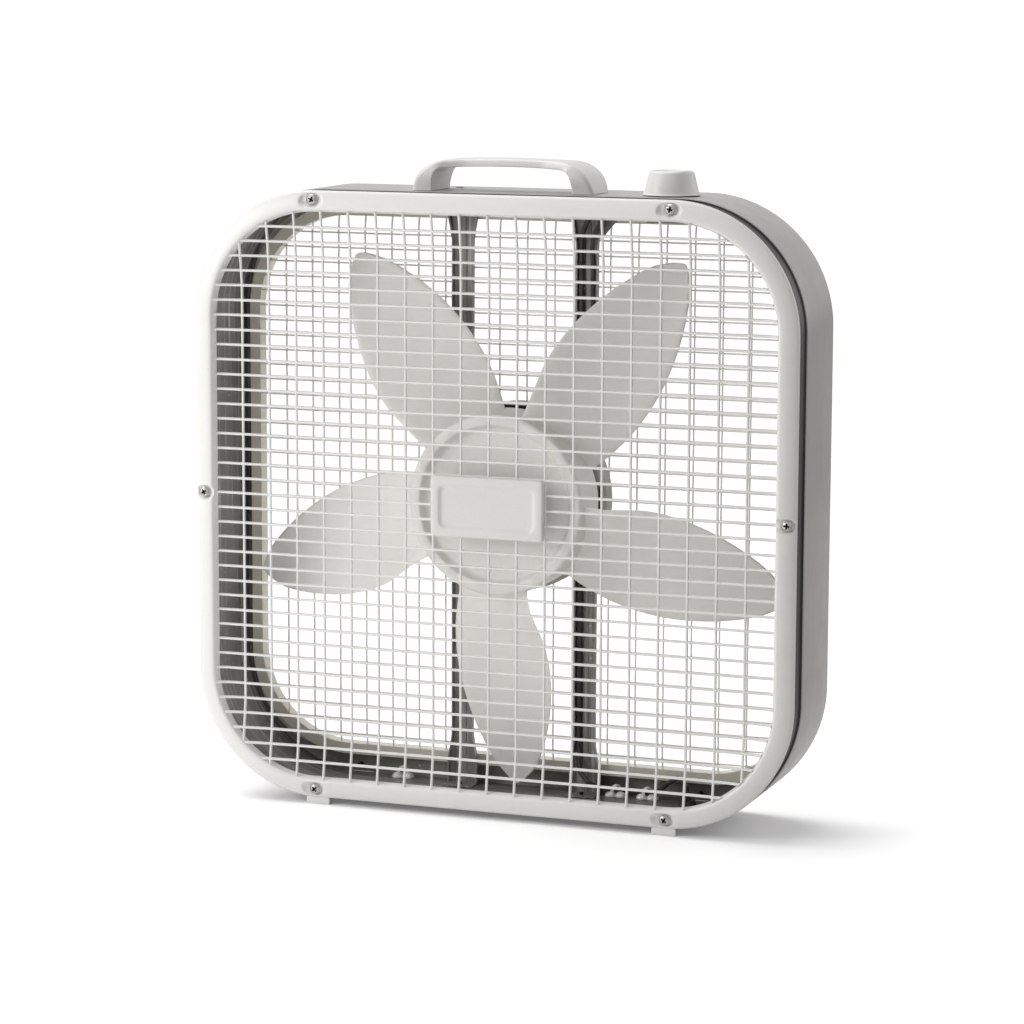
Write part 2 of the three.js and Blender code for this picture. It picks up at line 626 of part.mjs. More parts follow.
// A small plastic saddle on the floor of the body, open along X.
function leadClip() {
  const base = floor + GAP;
  const ring = pipe(2.9, 4.6, -3.5, 3.5, 12).translate([0, 0, base + CLIP.height]);
  return join(ring, box(-8, 8, -3.5, 3.5, base, base + 2)).rotate([0, 0, 90]);
}

place('cord_gland', gland(), BLACK, [GLAND.x, GLAND.y, 0]);
CLIP.spots.forEach((x, i) => place(`lead_clip_${i + 1}`, leadClip(), CLEAR, [x, CLIP.y, 0]));

// Both leads lie in the right strut's two grooves, and keep behind or outside the blades' swept space.
const grooveOffset = (STRUT.rib / 2 + STRUT.width / 2 - STRUT.sheet) / 2;
const [nearGroove, farGroove] = [STRUT.x - grooveOffset, STRUT.x + grooveOffset];
const grooveY = STRUT.back - STRUT.sheet - LEAD / 2 - GAP;
const clipZ = floor + GAP + CLIP.height;
const caseSide = KNOB.x - 16 - GAP;

const MAINS_ROUTE = [
  [GLAND.x, GLAND.y, -top + 6 + GAP], [GLAND.x, GLAND.y, -243], [GLAND.x - 7, 31, -235],
  [134, 34, -238], [126, 37, -246], [118, CLIP.y, clipZ], [98, CLIP.y, clipZ], [79, CLIP.y, clipZ],
  [73, 33, -250], [64, 27.5, -245], [54, 30, -236], [nearGroove, grooveY, -222], [nearGroove, grooveY, -210],
  [nearGroove, grooveY, 194], [nearGroove, grooveY, 206], [53, 32, 224], [63, 29, 240],
  [82, 17, 250], [104, 6, 249], [116, 5, 247], [caseSide - 1, 5, 247],
];
const MOTOR_ROUTE = [
  [caseSide - 1, -5, 241], [116, -5, 241], [104, -1, 242], [89, 9, 242], [82, 20, 243], [75, 29, 238],
  [66, 30, 226], [61, 33, 211], [farGroove, grooveY, 196], [farGroove, grooveY, 186],
  [farGroove, grooveY, 58], [farGroove, grooveY, 47], [60, 32.5, 37], [57, 27, 29], [53, 25, 26],
  [CORE.half + 1.2, 25, 26],
];

place('mains_lead', lead(MAINS_ROUTE, LEAD, 60), BLACK);
place('motor_lead', lead(MOTOR_ROUTE, LEAD, 36), BLACK);

export default fan;
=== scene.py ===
"""Looks of the box fan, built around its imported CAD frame.

Pieces are drawn in millimetres around the middle of the body (X right seen from the front, front at -Y,
+Z up) and are put into the shared frame, in metres, by make_piece().
"""

import json
import math
import random

import bmesh
import bpy
from mathutils import Matrix, Vector


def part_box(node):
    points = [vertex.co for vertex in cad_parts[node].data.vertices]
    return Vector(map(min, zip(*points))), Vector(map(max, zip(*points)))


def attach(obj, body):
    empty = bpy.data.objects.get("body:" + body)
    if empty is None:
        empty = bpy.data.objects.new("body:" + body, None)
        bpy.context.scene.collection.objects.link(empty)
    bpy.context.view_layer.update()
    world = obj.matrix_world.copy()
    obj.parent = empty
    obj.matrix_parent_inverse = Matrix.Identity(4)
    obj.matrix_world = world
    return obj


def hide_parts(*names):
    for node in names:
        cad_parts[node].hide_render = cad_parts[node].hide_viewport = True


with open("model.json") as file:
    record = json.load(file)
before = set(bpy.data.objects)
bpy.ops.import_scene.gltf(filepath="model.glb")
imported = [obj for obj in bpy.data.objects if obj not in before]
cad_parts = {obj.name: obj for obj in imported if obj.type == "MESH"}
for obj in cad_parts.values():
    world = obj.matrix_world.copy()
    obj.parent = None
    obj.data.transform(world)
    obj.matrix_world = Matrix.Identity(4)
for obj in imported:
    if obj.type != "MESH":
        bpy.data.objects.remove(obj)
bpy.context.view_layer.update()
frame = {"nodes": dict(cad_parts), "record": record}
nodes = frame["nodes"]
random.seed(7)

# -------- sizes taken from the frame

MM = 0.001
band_low, band_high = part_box("housing_band")
CENTRE_Z = (band_low.z + band_high.z) / 2
TO_FRAME = Matrix.Translation((0, 0, CENTRE_Z)) @ Matrix.Scale(MM, 4)


def node_box(name):
    """Lowest and highest corner of a CAD node in millimetres around the middle of the body."""
    low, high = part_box(name)
    middle = Vector((0, 0, CENTRE_Z))
    return (low - middle) / MM, (high - middle) / MM


band_low, band_high = node_box("housing_band")
front_low, front_high = node_box("front_grille")
rear_low, rear_high = node_box("rear_grille")
badge_high = node_box("badge_plate")[1]
HALF_WIDTH = front_high.x
HALF_HEIGHT = band_high.z
FRONT = front_low.y
BACK = rear_high.y
FLOOR = front_low.z

CORNER = 108  # outer corner radius of the body
BODY = (HALF_WIDTH, HALF_HEIGHT, CORNER)
BEZEL = 16.9  # from the outer edge of the front grille to its lattice
LATTICE_FRONT = FRONT + 6.5
LATTICE_BACK = rear_low.y + 1.2
COLUMN, ROW = 24.64, 12.625  # pitch of upright and level bars
COLUMNS, ROWS = 9, 18  # bars each side of the middle one
BAR = 1.2  # half the thickness of a bar
REAR_OPENING = (HALF_WIDTH - 17.3, HALF_HEIGHT - 27.0, 82)
REAR_FLANGE = (HALF_WIDTH - 5.3, HALF_HEIGHT - 17.2, 80)
FOOT_X = 154.5  # middle of a foot, left and right
STRUT_X = 55.6  # middle of a strut, left and right


def middle_of(name):
    low, high = node_box(name)
    return (low + high) / 2


FRONT_SCREWS = [middle_of(f"front_screw_{i}") for i in range(1, 7)]
REAR_SCREWS = [middle_of(f"rear_screw_{i}") for i in range(1, 7)]


def clamp(value):
    return min(1.0, max(0.0, value))


def smooth(share):
    """Eases a share of 0 to 1 in and out."""
    return share * share * (3 - 2 * share)


def turns(count):
    """Angles of a full turn in even steps."""
    return [2 * math.pi * k / count for k in range(count)]

# -------- materials


def add_node(tree, kind, inputs=None, **settings):
    """A shader node. Settings are its properties; inputs are values, or sockets to link from."""
    node = tree.nodes.new("ShaderNode" + kind)
    for key, value in settings.items():
        setattr(node, key, value)
    for key, value in (inputs or {}).items():
        if isinstance(value, bpy.types.NodeSocket):
            tree.links.new(value, node.inputs[key])
        else:
            node.inputs[key].default_value = value
    return node


FINISHES = {}  # materials by the name they are made under


class Surface:
    """A principled material with helpers for the node chains that the finishes share."""

    def __init__(self, name, roughness=0.5, metallic=0.0):
        self.material = bpy.data.materials.new(name)
        self.material.use_nodes = True
        FINISHES[name] = self.material
        self.tree = self.material.node_tree
        self.shader = self.tree.nodes["Principled BSDF"]
        self.shader.inputs["Roughness"].default_value = roughness
        self.shader.inputs["Metallic"].default_value = metallic
        self.coordinates = add_node(self.tree, "TexCoord").outputs["Object"]

    def link(self, source, target):
        self.tree.links.new(source, target)

    def noise(self, scale, detail=3.0, stretch=(1, 1, 1), distortion=0.0):
        """Noise in object space; scale is in features per metre, stretch multiplies it per axis."""
        mapping = add_node(self.tree, "Mapping", {"Scale": stretch, "Vector": self.coordinates})
        return add_node(self.tree, "TexNoise", {
            "Scale": scale, "Detail": detail, "Distortion": distortion, "Vector": mapping.outputs["Vector"],
        }).outputs["Fac"]

    def waves(self, scale, distortion, **settings):
        """Even waves in object space."""
        return add_node(self.tree, "TexWave", {
            "Scale": scale, "Distortion": distortion, "Vector": self.coordinates,
        }, **settings).outputs["Fac"]

    def ramp(self, factor, stops):
        """Colour ramp; stops are (position, colour)."""
        node = add_node(self.tree, "ValToRGB", {"Fac": factor})
        elements = node.color_ramp.elements
        while len(elements) < len(stops):
            elements.new(0.5)
        for element, (position, colour) in zip(elements, stops):
            element.position = position
            element.color = (*colour, 1)
        return node.outputs["Color"]

    def spread(self, factor, low, high, start=0.3, end=0.7):
        """The factor's range start..end, mapped to low..high."""
        return add_node(self.tree, "MapRange", {
            "Value": factor, "From Min": start, "From Max": end, "To Min": low, "To Max": high,
        }).outputs["Result"]

    def mix(self, factor, first, second, blend="MIX"):
        return add_node(self.tree, "Mix", {"Factor": factor, "A": first, "B": second},
                        data_type="RGBA", blend_type=blend).outputs["Result"]

    def bump(self, height, distance, strength=1.0):
        node = add_node(self.tree, "Bump", {"Height": height, "Distance": distance, "Strength": strength})
        normal = self.shader.inputs["Normal"]
        if normal.links:
            self.link(normal.links[0].from_socket, node.inputs["Normal"])
        self.link(node.outputs["Normal"], normal)

    def colour(self, source):
        self.link(source, self.shader.inputs["Base Color"])

    def roughness(self, source):
        self.link(source, self.shader.inputs["Roughness"])


def scaled(colour, factor):
    return tuple(min(1.0, c * factor) for c in colour)


def moulded(name, colour, roughness, variation=0.02, grain=0.00002):
    """Moulded plastic: fine spark-eroded grain, faint flow marks and uneven gloss."""
    s = Surface(name)
    flow = s.noise(9, 4, distortion=0.6)
    base = s.ramp(flow, [(0.3, scaled(colour, 1 - variation)), (0.7, scaled(colour, 1 + variation / 2))])
    dust = s.noise(700, 6)
    specks = s.ramp(dust, [(0.32, (0.86, 0.85, 0.83)), (0.42, (1, 1, 1))])
    s.colour(s.mix(0.3, base, specks, "MULTIPLY"))
    s.roughness(s.spread(s.noise(45, 4), roughness - 0.06, roughness + 0.08))
    s.bump(s.noise(1400, 2), grain)
    s.bump(flow, 0.0001, 0.3)
    return s.material


def painted(name, colour, roughness):
    """Baked paint on sheet: orange peel, soft mottling and a few rubbed spots."""
    s = Surface(name)
    mottle = s.noise(14, 5)
    base = s.ramp(mottle, [(0.32, scaled(colour, 0.94)), (0.68, scaled(colour, 1.04))])
    rubs = s.noise(30, 8, stretch=(1, 6, 1))
    s.colour(s.mix(s.spread(rubs, 0.0, 0.25, 0.62, 0.8), base, s.ramp(mottle, [
        (0.0, scaled(colour, 1.25)), (1.0, scaled(colour, 1.35))])))
    s.roughness(s.spread(s.noise(60, 4), roughness - 0.07, roughness + 0.07))
    s.bump(s.noise(420, 3), 0.00005)
    s.shader.inputs["Coat Weight"].default_value = 0.15
    s.shader.inputs["Coat Roughness"].default_value = 0.25
    return s.material


def rolled_steel(name, dark, light, stretch, roughness=0.42, streaks=1.0):
    """Bare galvanised sheet: streaks along the rolling direction, stains and small bright scuffs."""
    s = Surface(name, metallic=0.4)
    fine = s.noise(1.0, 6, stretch=stretch)
    broad = s.noise(7, 5, distortion=1.2)
    base = s.ramp(fine, [(0.30, dark), (0.55, scaled(dark, 1.4)), (0.75, light)])
    stain = s.ramp(broad, [(0.35, (0.55, 0.55, 0.54)), (0.6, (1, 1, 1))])
    streaked = s.mix(0.75, base, stain, "MULTIPLY")
    scuff = s.spread(s.noise(220, 8, stretch=(1, 2.5, 1)), 0.0, 0.8 * streaks, 0.66, 0.76)
    bright = s.ramp(broad, [(0.0, scaled(light, 1.8)), (1.0, scaled(light, 2.4))])
    s.colour(s.mix(scuff, streaked, bright))
    s.roughness(s.spread(fine, roughness - 0.1, roughness + 0.16))
    s.bump(fine, 0.00006, 0.6)
    return s.material


def plated(name, colour, roughness=0.28):
    """Zinc plate on small hardware: clouded shine with fine turning scratches."""
    s = Surface(name, metallic=1.0)
    cloud = s.noise(260, 4)
    s.colour(s.ramp(cloud, [(0.3, scaled(colour, 0.75)), (0.7, colour)]))
    s.roughness(s.spread(s.noise(700, 5), roughness - 0.08, roughness + 0.14))
    s.bump(s.noise(2500, 3), 0.00001)
    return s.material


def wound_wire(name, colour):
    """Lacquered copper wire, laid in turns round the axis."""
    s = Surface(name, metallic=1.0)
    wave = s.waves(300, 1.5, wave_type="RINGS", rings_direction="Y")
    s.colour(s.ramp(wave, [(0.1, scaled(colour, 0.35)), (0.7, colour)]))
    s.roughness(s.spread(s.noise(300), 0.25, 0.45))
    s.bump(wave, 0.0003)
    return s.material


def laminated(name, colour):
    """A stack of thin iron sheets, seen edge on."""
    s = Surface(name, metallic=0.7)
    wave = s.waves(320, 0.3, wave_type="BANDS", bands_direction="Y")
    rust = s.ramp(s.noise(60, 6), [(0.45, (1, 1, 1)), (0.7, (0.75, 0.55, 0.42))])
    sheets = s.ramp(wave, [(0.2, scaled(colour, 0.4)), (0.6, colour)])
    s.colour(s.mix(0.8, sheets, rust, "MULTIPLY"))
    s.roughness(s.spread(s.noise(200), 0.5, 0.75))
    s.bump(wave, 0.0002)
    return s.material


def sheathed(name, colour):
    """Soft sheath of a lead: matt with faint scuffs."""
    s = Surface(name)
    s.colour(s.ramp(s.noise(90, 6), [(0.35, colour), (0.75, scaled(colour, 1.8))]))
    s.roughness(s.spread(s.noise(240), 0.42, 0.62))
    s.bump(s.noise(900), 0.00004)
    return s.material


def milky(name, colour):
    """Milky plastic of the small clips: glossy, and a little light passes through."""
    s = Surface(name)
    s.colour(s.ramp(s.noise(150, 4), [(0.3, scaled(colour, 0.88)), (0.7, colour)]))
    s.roughness(s.spread(s.noise(300), 0.12, 0.3))
    s.shader.inputs["Subsurface Weight"].default_value = 0.3
    s.shader.inputs["Coat Weight"].default_value = 1.0
    s.shader.inputs["Coat IOR"].default_value = 2.2
    s.shader.inputs["Subsurface Radius"].default_value = (0.002, 0.002, 0.002)
    s.bump(s.noise(500), 0.00005)
    return s.material


WHITE = moulded("white_plastic", (0.80, 0.79, 0.77), 0.36)
BADGE_WHITE = moulded("badge_plastic", (0.73, 0.72, 0.70), 0.42)
BLADE_GREY = moulded("blade_plastic", (0.88, 0.862, 0.825), 0.42, 0.02)
BEIGE = moulded("beige_plastic", (0.75, 0.712, 0.63), 0.55, 0.05)
# The rear bars get a lighter, greyer copy of the rear grille's beige plastic: painted light on bars that
# stand in shade inside the body.
BEIGE_BARS_PAINTED_LIGHT = moulded("beige_bars_painted_light", (0.90, 0.88, 0.84), 0.5, 0.03)
COVER_PAINT = painted("cover_paint", (0.46, 0.44, 0.40), 0.5)
BAND_PAINT = painted("band_paint", (0.44, 0.425, 0.415), 0.38)
# The neck's bare steel is made far darker than the band's inner steel: painted shade of the groove behind the
# front bezel.
NECK_SHADE_STEEL = rolled_steel("neck_shade_steel", (0.035, 0.035, 0.035), (0.09, 0.09, 0.088), (9, 420, 9), 0.35, 0.3)
BAND_STEEL = rolled_steel("band_steel", (0.22, 0.215, 0.205), (0.86, 0.85, 0.83), (9, 420, 9))
# The hem steel is a darker copy of the band's inner steel: painted shade at the rear corner beside the ring.
HEM_SHADE_STEEL = rolled_steel("hem_shade_steel", (0.17, 0.165, 0.155), (0.62, 0.61, 0.58), (9, 420, 9), 0.45, 0.6)
STRUT_STEEL = rolled_steel("strut_steel", (0.22, 0.217, 0.21), (0.64, 0.63, 0.62), (420, 420, 9))
ALLOY = plated("motor_alloy", (0.55, 0.55, 0.54), 0.5)
plated("bright_steel", (0.72, 0.71, 0.69))
ZINC = plated("screw_zinc", (0.55, 0.54, 0.52), 0.3)
# The screw recess colour is a near-black copy of the zinc: painted shade inside the cross recesses of the
# heads.
RECESS_SHADE = plated("screw_recess_shade", (0.045, 0.043, 0.04), 0.6)
laminated("core_iron", (0.12, 0.12, 0.125))
COPPER = wound_wire("copper_wire", (0.62, 0.27, 0.11))
BLACK = moulded("black_plastic", (0.028, 0.028, 0.028), 0.5)
CLEAR = milky("clear_plastic", (0.95, 0.95, 0.93))
sheathed("lead_sheath", (0.03, 0.03, 0.03))
SLOT_MATERIALS = {
    **FINISHES, "painted_steel": BAND_PAINT, "galvanised_steel": STRUT_STEEL, "copper": COPPER,
}

# -------- mesh helpers


def add_object(name, data):
    item = bpy.data.objects.new(name, data)
    bpy.context.scene.collection.objects.link(item)
    return item


def as_mesh(name, bm, matrix=TO_FRAME):
    """Turns a bmesh, in millimetres unless a matrix is given, into a mesh in metres."""
    mesh = bpy.data.meshes.new(name)
    bm.to_mesh(mesh)
    bm.free()
    mesh.transform(matrix)
    return mesh


def make_piece(name, bm, materials, body, replaced=(), sharp=32):
    """Turns a bmesh in millimetres into an object in the frame that rides on a body."""
    bmesh.ops.recalc_face_normals(bm, faces=bm.faces)
    mesh = as_mesh(name, bm)
    for material in materials:
        mesh.materials.append(material)
    mesh.shade_smooth()
    mesh.set_sharp_from_angle(angle=math.radians(sharp))
    piece = add_object(name, mesh)
    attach(piece, body)
    if replaced:
        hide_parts(*replaced)
    return piece


def loft(bm, rings, closed=True, capped=False, material=0, loop=False):
    """Quads between rings of vertices. closed joins each ring's ends, loop the last ring to the first.
    material is an index, or a function of the place in the ring."""
    count = len(rings[0])
    steps = len(rings) if loop else len(rings) - 1
    index_of = material if callable(material) else lambda _: material
    for i in range(steps):
        a, b = rings[i], rings[(i + 1) % len(rings)]
        for j in range(count if closed else count - 1):
            k = (j + 1) % count
            bm.faces.new((a[j], a[k], b[k], b[j])).material_index = index_of(j)
    if capped:
        for ring in (rings[0], rings[-1]):
            bm.faces.new(ring).material_index = index_of(0)


def rounded_points(points, steps=5):
    """Rounds a polyline's corners: points are (a, b) or (a, b, radius)."""
    out = []
    count = len(points)
    for i, point in enumerate(points):
        here = Vector(point[:2])
        radius = point[2] if len(point) > 2 else 0
        if not radius:
            out.append(here)
            continue
        before = Vector(points[i - 1][:2])
        after = Vector(points[(i + 1) % count][:2])
        to_before, to_after = (before - here).normalized(), (after - here).normalized()
        half = to_before.angle(to_after) / 2
        reach = min(radius / math.tan(half), (before - here).length * 0.49, (after - here).length * 0.49)
        centre = here + (to_before + to_after).normalized() * (reach / math.cos(half))
        start = here + to_before * reach - centre
        turn = start.angle_signed(here + to_after * reach - centre)
        for step in range(steps + 1):
            out.append(centre + Matrix.Rotation(-turn * step / steps, 2) @ start)
    return out


def lathe(bm, profile, segments=72, centre=(0, 0, 0), axis="Y", material=0):
    """A turned piece; profile is a closed loop of (radius, height) that may touch the axis."""
    rings = []
    for angle in turns(segments):
        ring = []
        for radius, height in profile:
            flat = (radius * math.cos(angle), radius * math.sin(angle))
            place = (flat[0], height, flat[1]) if axis == "Y" else (flat[0], flat[1], height)
            ring.append(bm.verts.new(Vector(place) + Vector(centre)))
        rings.append(ring)
    loft(bm, rings, closed=True, material=material, loop=True)
    bmesh.ops.remove_doubles(bm, verts=[v for ring in rings for v in ring], dist=0.001)


def block(bm, low, high, bevel):
    """A box with rounded edges."""
    created = bmesh.ops.create_cube(bm, size=1)["verts"]
    low, high = Vector(low), Vector(high)
    for vertex in created:
        vertex.co = Vector([(low[k] + high[k]) / 2 + vertex.co[k] * (high[k] - low[k]) for k in range(3)])
    edges = list({edge for vertex in created for edge in vertex.link_edges})
    bmesh.ops.bevel(bm, geom=edges, offset=bevel, segments=3, profile=0.6, affect="EDGES", material=0)


def turn_new(bm, start, matrix):
    """Moves all vertices from number start on."""
    bm.verts.ensure_lookup_table()
    bmesh.ops.transform(bm, matrix=matrix, verts=bm.verts[start:])


def turned_block(bm, degrees, low, high, bevel):
    """A block turned about the axis of the fan."""
    start = len(bm.verts)
    block(bm, low, high, bevel)
    turn_new(bm, start, Matrix.Rotation(math.radians(degrees), 4, "Y"))


# -------- rounded-rectangle sweeps


def outline_point(outline, piece, share):
    """Point and outward normal on a rounded rectangle. Even pieces are straight, odd ones are corners."""
    half_x, half_z, radius = outline
    flat_x, flat_z = half_x - radius, half_z - radius
    signs = ((1, 1), (-1, 1), (-1, -1), (1, -1))
    centres = [Vector((flat_x * across, flat_z * up)) for across, up in signs]
    quarter = piece // 2
    turn = quarter + (share if piece % 2 else 0)
    normal = Vector((math.cos(turn * math.pi / 2), math.sin(turn * math.pi / 2)))
    centre = centres[quarter] if piece % 2 else centres[quarter - 1].lerp(centres[quarter], share)
    return centre + normal * radius, normal


def stations(outline, spots=(), coarse=12.0, arc=3.4, fine=0.9, reach=14.0):
    """Places round an outline, close together near the spots, as (piece, share)."""
    half_x, half_z, radius = outline
    lengths = [2 * (half_z - radius), radius * math.pi / 2, 2 * (half_x - radius), radius * math.pi / 2] * 2
    found = []
    for piece, length in enumerate(lengths):
        distance = 0.0
        while distance < length - 0.3:
            found.append((piece, distance / length))
            point, _ = outline_point(outline, piece, distance / length)
            near = any((point - Vector((s.x, s.z))).length < reach + 7 for s in spots)
            distance += fine if near else (arc if piece % 2 else coarse)
    return found


def sweep(bm, places, profile, material=0, shift=None):
    """A closed profile of (outline, inset, y) swept round the body."""
    rings = []
    for piece, share in places:
        ring = []
        for outline, inset, y in profile:
            point, normal = outline_point(outline, piece, share)
            spot = point - normal * inset
            depth = shift(spot.x, spot.y, y) if shift else 0
            ring.append(bm.verts.new((spot.x, y + depth, spot.y)))
        rings.append(ring)
    loft(bm, rings, closed=True, material=material, loop=True)


def on_outline(outline, points):
    return [(outline, inset, y) for inset, y in points]


# -------- lattices


def outline_reach(outline, level):
    """Half length of a chord of a rounded rectangle at a height, and None outside it."""
    half_x, half_z, radius = outline
    level = abs(level)
    if level > half_z:
        return None
    past = max(0.0, level - (half_z - radius))
    return half_x - radius + math.sqrt(max(0.0, radius * radius - past * past))


def lattice(bm, outline, middle, rise, bar, row=ROW, drop=0.0):
    """Moulded bars in one sheet: 19 upright by 37 level ones, rounded front and back, closed at their ends.
    rise(x, z) bends the sheet near its rim, bar is half a bar's width, drop lowers the level bars."""
    offsets = (-bar, -bar * 0.5, bar * 0.5, bar)
    heights = (0.0, BAR, BAR, 0.0)
    turned = (outline[1], outline[0], outline[2])

    def level(j):
        return j * row - drop

    def inside(i, j):
        reach = outline_reach(outline, level(j))
        height = outline_reach(turned, i * COLUMN)
        return (reach is not None and abs(i * COLUMN) + 3 < reach
                and height is not None and abs(level(j)) + 3 < height)

    vertices = {}

    def corner(key, x, z, height, side):
        full = (*key, 0 if height == 0 else side)
        if full not in vertices:
            vertices[full] = bm.verts.new((x, middle + rise(x, z) + side * height, z))
        return vertices[full]

    def crossing(i, j, a, b, side):
        height = max(heights[a], heights[b])
        return corner((i, j, a, b), i * COLUMN + offsets[a], level(j) + offsets[b], height, side)

    def skin(a, b):
        """Front and back faces between two rows of four vertices, given as functions of (k, side)."""
        for side in (-1, 1):
            for k in range(3):
                loop = [a(k, side), a(k + 1, side), b(k + 1, side), b(k, side)]
                if len(set(loop)) == 4:
                    bm.faces.new(loop)

    def close(end):
        """Caps a bar's end, a loop of six vertices."""
        bm.faces.new([end(0, -1), end(1, -1), end(2, -1), end(3, -1), end(2, 1), end(1, 1)])

    def tail(start, upright, line, first, limit, sign):
        """A bar from its last crossing, at first, to the rim, in short steps so that it can bend."""
        steps = 5
        previous = start
        for step in range(1, steps + 1):

            def line_of(k, side, step=step):
                across = line + offsets[k]
                last = outline_reach(limit, across)
                along = sign * (first + (last - first) * (step / steps))
                x, z = (across, along) if upright else (along, across)
                return corner(((line, sign, upright), k, step), x, z, heights[k], side)

            skin(previous, line_of)
            previous = line_of
        close(previous)

    for i in range(-COLUMNS, COLUMNS + 1):
        for j in range(-ROWS, ROWS + 1):
            if not inside(i, j):
                continue
            for side in (-1, 1):
                for a in range(3):
                    for b in range(3):
                        bm.faces.new([crossing(i, j, a, b, side), crossing(i, j, a + 1, b, side),
                                      crossing(i, j, a + 1, b + 1, side), crossing(i, j, a, b + 1, side)])
            if inside(i, j + 1):
                skin(lambda k, side: crossing(i, j, k, 3, side),
                     lambda k, side: crossing(i, j + 1, k, 0, side))
            if inside(i + 1, j):
                skin(lambda k, side: crossing(i, j, 3, k, side),
                     lambda k, side: crossing(i + 1, j, 0, k, side))
            for sign, edge in ((-1, 0), (1, 3)):
                if not inside(i, j + sign):
                    tail(lambda k, side: crossing(i, j, k, edge, side), True, i * COLUMN,
                         abs(level(j) + offsets[edge]), turned, sign)
                if not inside(i + sign, j):
                    tail(lambda k, side: crossing(i, j, edge, k, side), False, level(j),
                         abs(i * COLUMN + offsets[edge]), outline, sign)


def rim_rise(outline, amount, reach):
    """How far the sheet bends out of its plane near the rim's top and bottom."""
    turned = (outline[1], outline[0], outline[2])

    def rise(x, z):
        edge = outline_reach(turned, min(abs(x), outline[0] - 1))
        distance = max(0.0, edge - abs(z))
        return amount * max(0.0, 1 - distance / reach) ** 1.3

    return rise


# -------- front grille


def dish(spots, depth, wide, tall, offset):
    """Depth of the scooped recesses round the screws at a point of the face."""

    def shift(x, z):
        deepest = 0.0
        for spot in spots:
            across = abs((x - spot.x - offset) / wide)
            up = abs((z - spot.z) / tall)
            distance = (across ** 2.6 + up ** 2.6) ** (1 / 2.6)
            share = clamp((1.0 - distance) / 0.42)
            here = depth * smooth(share)
            ring = abs(math.hypot(x - spot.x, z - spot.z) - 5.0)
            deepest = max(deepest, here + 0.9 * max(0.0, 1 - ring / 0.9) * share)
        return deepest

    return shift


def front_grille():
    bm = bmesh.new()
    crown, peak = 4.6, 14.4
    face = [(inset, crown * (1 - inset / peak) ** 2) for inset in [1.5 + 0.88 * k for k in range(14)]]
    profile = [(inset, FRONT + depth) for inset, depth in [
        (0.0, 7.2), (0.0, 6.0), (0.3, 5.0), (0.8, 4.4), *face, (14.2, 0.0), (15.0, 0.25), (15.7, 0.7),
        (16.2, 1.5), (17.6, 5.4), (17.9, 6.3), (17.8, 7.4), (17.0, 7.6), (15.4, 7.4), (13.6, 3.4), (8.0, 4.2),
        (3.0, 6.4), (2.6, 7.2)]]
    recess = dish(FRONT_SCREWS, 3.6, 12.2, 6.8, -0.8)
    face_limit = FRONT + 4.3

    def shift(x, z, y):
        return max(0.0, recess(x, z) - 0.6 * (y - FRONT)) if y < face_limit else 0.0

    sweep(bm, stations(BODY, FRONT_SCREWS), on_outline(BODY, profile), shift=shift)
    opening = (HALF_WIDTH - BEZEL, HALF_HEIGHT - BEZEL, CORNER - BEZEL)
    lattice(bm, opening, LATTICE_FRONT, rim_rise(opening, -5.0, 38.0), BAR)
    for side in (-1, 1):
        foot_tab(bm, side, FRONT, 1)
    return make_piece("front_grille_moulding", bm, [WHITE], "housing", ["front_grille"])


def foot_tab(bm, side, outer, inward):
    """A foot under a grille's rim: a block with a rounded nose that runs up into the rim."""
    x, half, depth = FOOT_X * side, 10.5, 12.0
    y0, y1 = sorted((outer + 5.0 * inward, outer + depth * inward))
    block(bm, (x - half, y0, FLOOR), (x + half, y1, -HALF_HEIGHT - 0.3), 0.9)
    y0, y1 = sorted((outer + 5.4 * inward, outer + 7.0 * inward))
    block(bm, (x - half + 0.4, y0, -HALF_HEIGHT - 2.0), (x + half - 0.4, y1, -HALF_HEIGHT + 1.6), 0.8)


front_grille()

# -------- rear grille


def rear_grille():
    bm = bmesh.new()
    outer = [(0.3, BACK - 3.6), (0.3, BACK - 2.4), (0.6, BACK - 1.4), (1.3, BACK - 0.6),
             (2.4, BACK - 0.15), (3.6, BACK)]
    inner = [(-1.6, BACK), (-0.5, BACK - 0.25), (0.2, BACK - 1.0), (0.4, BACK - 2.2),
             (0.0, LATTICE_BACK), (-9.3, LATTICE_BACK), (-9.7, LATTICE_BACK + 0.4), (-9.7, BACK - 3.6)]
    steps = 9
    recess = dish(REAR_SCREWS, 2.2, 7.6, 6.4, 0)
    rings = []
    for piece, share in stations(BODY, REAR_SCREWS):
        outer_point, outer_normal = outline_point(BODY, piece, share)
        inner_point, inner_normal = outline_point(REAR_OPENING, piece, share)
        ring = [(outer_point - outer_normal * a, b) for a, b in outer]
        start, end = ring[-1][0], inner_point - inner_normal * inner[0][0]
        ring += [(start.lerp(end, k / (steps + 1)), BACK) for k in range(1, steps + 1)]
        ring += [(inner_point - inner_normal * a, b) for a, b in inner]
        rings.append([bm.verts.new((p.x, y - (recess(p.x, p.y) if y > BACK - 3 else 0.0), p.y))
                      for p, y in ring])
    loft(bm, rings, closed=True, loop=True)
    half_x, half_z, radius = REAR_OPENING
    opening = (half_x + 0.8, half_z + 0.8, radius + 0.8)
    ring_faces = len(bm.faces)
    half_bar, row, drop = BAR * 0.62, ROW * 1.021, 3.2
    lattice(bm, opening, LATTICE_BACK + 0.6, rim_rise(opening, 2.0, 12.0), half_bar, row, drop)
    bm.faces.ensure_lookup_table()
    # Lattice faces take the lighter copy of the beige, painted light.
    for face in bm.faces[ring_faces:]:
        face.material_index = 1
    for side in (-1, 1):
        foot_tab(bm, side, BACK, -1)
    return make_piece("rear_grille_moulding", bm, [BEIGE, BEIGE_BARS_PAINTED_LIGHT], "housing",
                      ["rear_grille"])


rear_grille()

# -------- body band


